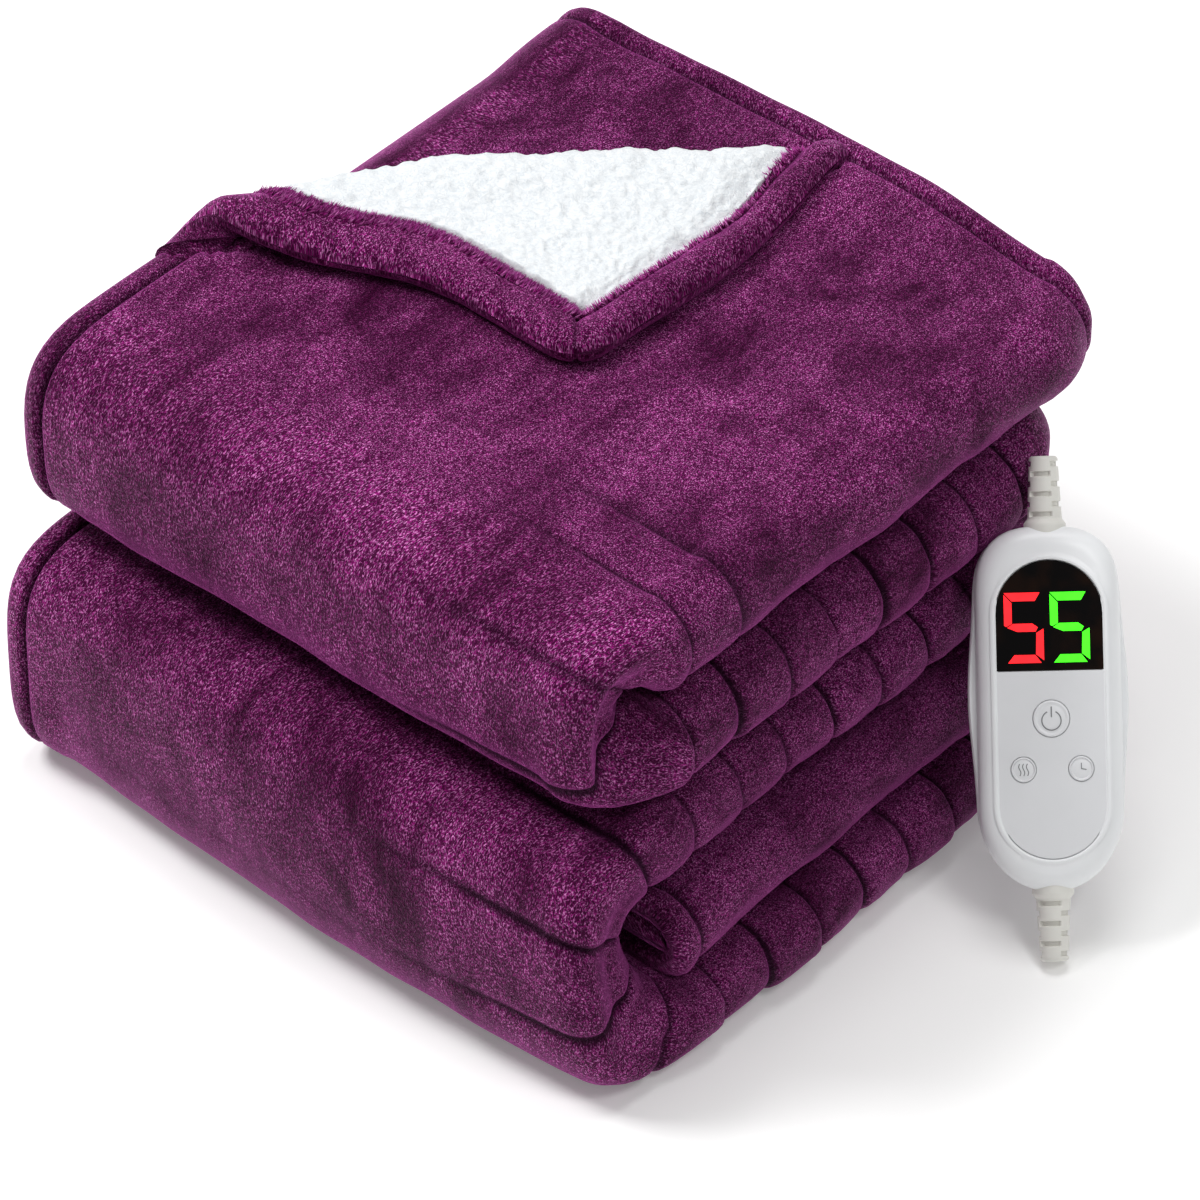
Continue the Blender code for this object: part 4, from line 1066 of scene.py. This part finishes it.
# Push buttons ---------------------------------
# Three caps moulded with a shallow dish and a raised ring stand in close holes in the panel. Their
# icons are printed in grey.
BUTTONS = [  # node, body and icon, place across the face, place along it, radius
    ("power_button", "power", 0.0, 0.1010, 0.0076),
    ("heat_button", "heat", -0.0120, 0.0800, 0.0052),
    ("timer_button", "timer", 0.0120, 0.0800, 0.0052),
]
BUTTON_TOP = FACE + 0.0006
BUTTON_BASE = FACE - 0.0024
WELL_FLOOR = FACE - 0.0040
WELL_GAP = 0.0003
THICK_LINE = 0.00045
THIN_LINE = 0.00034
CAP_GREY = plastic("cap_grey", (0.82, 0.83, 0.85), 0.38)
PRINT_GREY = plastic("print_grey", (0.20, 0.205, 0.215), 0.55)
GAP_DARK = plastic("gap_shadow", (0.035, 0.035, 0.04), 0.8)


def disc(x, y, radius):
    """A circle of 72 points round x, y."""
    turns = np.linspace(0, 2 * math.pi, 72, endpoint=False)
    return np.column_stack([x + radius * np.cos(turns), y + radius * np.sin(turns)])


def stroke(x, y, width):
    """A line of even width through points, as one outline: each side is the line moved sideways."""
    line = np.column_stack(np.broadcast_arrays(x, y))
    direction = np.gradient(line, axis=0)
    direction = direction / np.linalg.norm(direction, axis=1, keepdims=True)
    side = np.column_stack([-direction[:, 1], direction[:, 0]]) * width / 2
    return np.concatenate([line + side, (line - side)[::-1]])


def icon_strokes(kind, x, y):
    """The printed lines of an icon: an open ring and a bar, three waves, or two clock hands."""
    if kind == "power":
        turns = np.radians(np.linspace(116, 424, 60))
        ring = stroke(x + 0.0040 * np.cos(turns), y - 0.0008 + 0.0040 * np.sin(turns), THICK_LINE)
        return [ring, stroke(x, np.linspace(y + 0.0006, y + 0.0050, 8), 0.00050)]
    if kind == "heat":
        rise = np.linspace(-0.0025, 0.0025, 30)
        wave = 0.00042 * np.sin(rise / 0.0025 * math.pi)
        return [stroke(x + shift - wave, y + rise, THIN_LINE) for shift in (-0.0016, 0.0, 0.0016)]
    minute_hand = stroke(x, np.linspace(y - 0.0002, y + 0.0024, 6), THIN_LINE)
    hour_x, hour_y = np.linspace(x - 0.0001, x + 0.0021, 6), np.linspace(y, y - 0.0004, 6)
    return [minute_hand, stroke(hour_x, hour_y, THIN_LINE)]


for node, kind, x, y, radius in BUTTONS:
    profile = [
        (radius, BUTTON_BASE),
        (radius, BUTTON_TOP - 0.0005),
        (radius - 0.0001, BUTTON_TOP - 0.00025),
        (radius - 0.0004, BUTTON_TOP - 0.00005),
        (radius - 0.0008, BUTTON_TOP),
        (radius * 0.86, BUTTON_TOP - 0.00004),
        (radius * 0.80, BUTTON_TOP - 0.00022),
        (radius * 0.74, BUTTON_TOP - 0.00026),
        (radius * 0.68, BUTTON_TOP - 0.00012),
        (radius * 0.30, BUTTON_TOP - 0.00008),
    ]
    cap = ring_stack(node + "_cap", [(disc(x, y, r), height) for r, height in profile], CAP_GREY)
    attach(cap, kind)
    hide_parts(node)
    print_low, print_top = BUTTON_TOP - 0.00026, BUTTON_TOP + 0.00004
    icon = flat_shape(kind + "_icon", icon_strokes(kind, x, y), print_low, print_top, PRINT_GREY)
    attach(icon, kind)

# Painted shadow: a dark slab on each well's floor, seen only through the gap round its button.
wells = [disc(x, y, radius + WELL_GAP) for _, _, x, y, radius in BUTTONS]
shadows = flat_shape("button_well_shadows", wells, WELL_FLOOR, WELL_FLOOR + 0.0004, GAP_DARK)
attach(shadows, BODY)

# Strain reliefs -------------------------------
# A soft cream moulding at each end of the housing, with rows of slots that let it bend. Each row
# of slots is a quarter turn from the next.
RELIEFS = [  # name, node, place along the handset, direction
    ("upper_strain_relief", "upper_relief", HOUSING_END, 1),
    ("lower_strain_relief", "lower_relief", HOUSING_START, -1),
]
RELIEF_LENGTH = 0.029
BASE_RADIUS, NECK_RADIUS, TIP_RADIUS = 0.0088, 0.0072, 0.0060
TIP_START = RELIEF_LENGTH - 0.0012
SLOT_TURN = 0.38
SLOT_ROWS, SLOT_PITCH, SLOT_HEIGHT, SLOT_DEPTH = 6, 0.0042, 0.0021, 0.0016
FIRST_SLOT = 0.0048
RELIEF_CREAM = plastic("relief_cream", (0.82, 0.81, 0.76), 0.46, grain=0.00008)


def relief_surface(start, direction):
    """A turned taper whose radius drops inside each slot's height and angle, with soft edges."""
    collar = np.array([-4.0, 0.0, 0.9, 1.4, 2.0, 2.6, 3.2]) / 1000
    tip = RELIEF_LENGTH - np.array([0.8, 0.4, 0.1, 0.0]) / 1000
    heights = np.concatenate([collar, np.linspace(0.0036, TIP_START, 128), tip])
    stops = [*collar[[0, 2, 3, 5, 6]], TIP_START, tip[1], RELIEF_LENGTH]
    base = [BASE_RADIUS, BASE_RADIUS, BASE_RADIUS - 0.0003, NECK_RADIUS + 0.0003, NECK_RADIUS]
    radii = [*base, TIP_RADIUS, TIP_RADIUS - 0.0004, TIP_RADIUS - 0.0010]
    radius = np.interp(heights, stops, radii)[:, None]
    turns = np.linspace(0, 2 * math.pi, 112, endpoint=False)[None, :]
    heights = heights[:, None]
    depth = 0 * heights * turns
    for row in range(SLOT_ROWS):
        from_middle = np.abs(heights - FIRST_SLOT - row * SLOT_PITCH)
        in_height = smooth_step((SLOT_HEIGHT / 2 + 0.00015 - from_middle) / 0.0003)
        facing = np.abs((np.cos if row % 2 else np.sin)(turns - SLOT_TURN))
        depth = np.maximum(depth, in_height * smooth_step((facing - 0.70) / 0.06))
    radius = radius - SLOT_DEPTH * depth
    return on_handset(radius * np.cos(turns), start + direction * heights, radius * np.sin(turns))


for name, node, start, direction in RELIEFS:
    relief = skin(name, relief_surface(start, direction), RELIEF_CREAM)
    relief.data.set_sharp_from_angle(angle=math.radians(48))
    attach(relief, BODY)
    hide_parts(node)
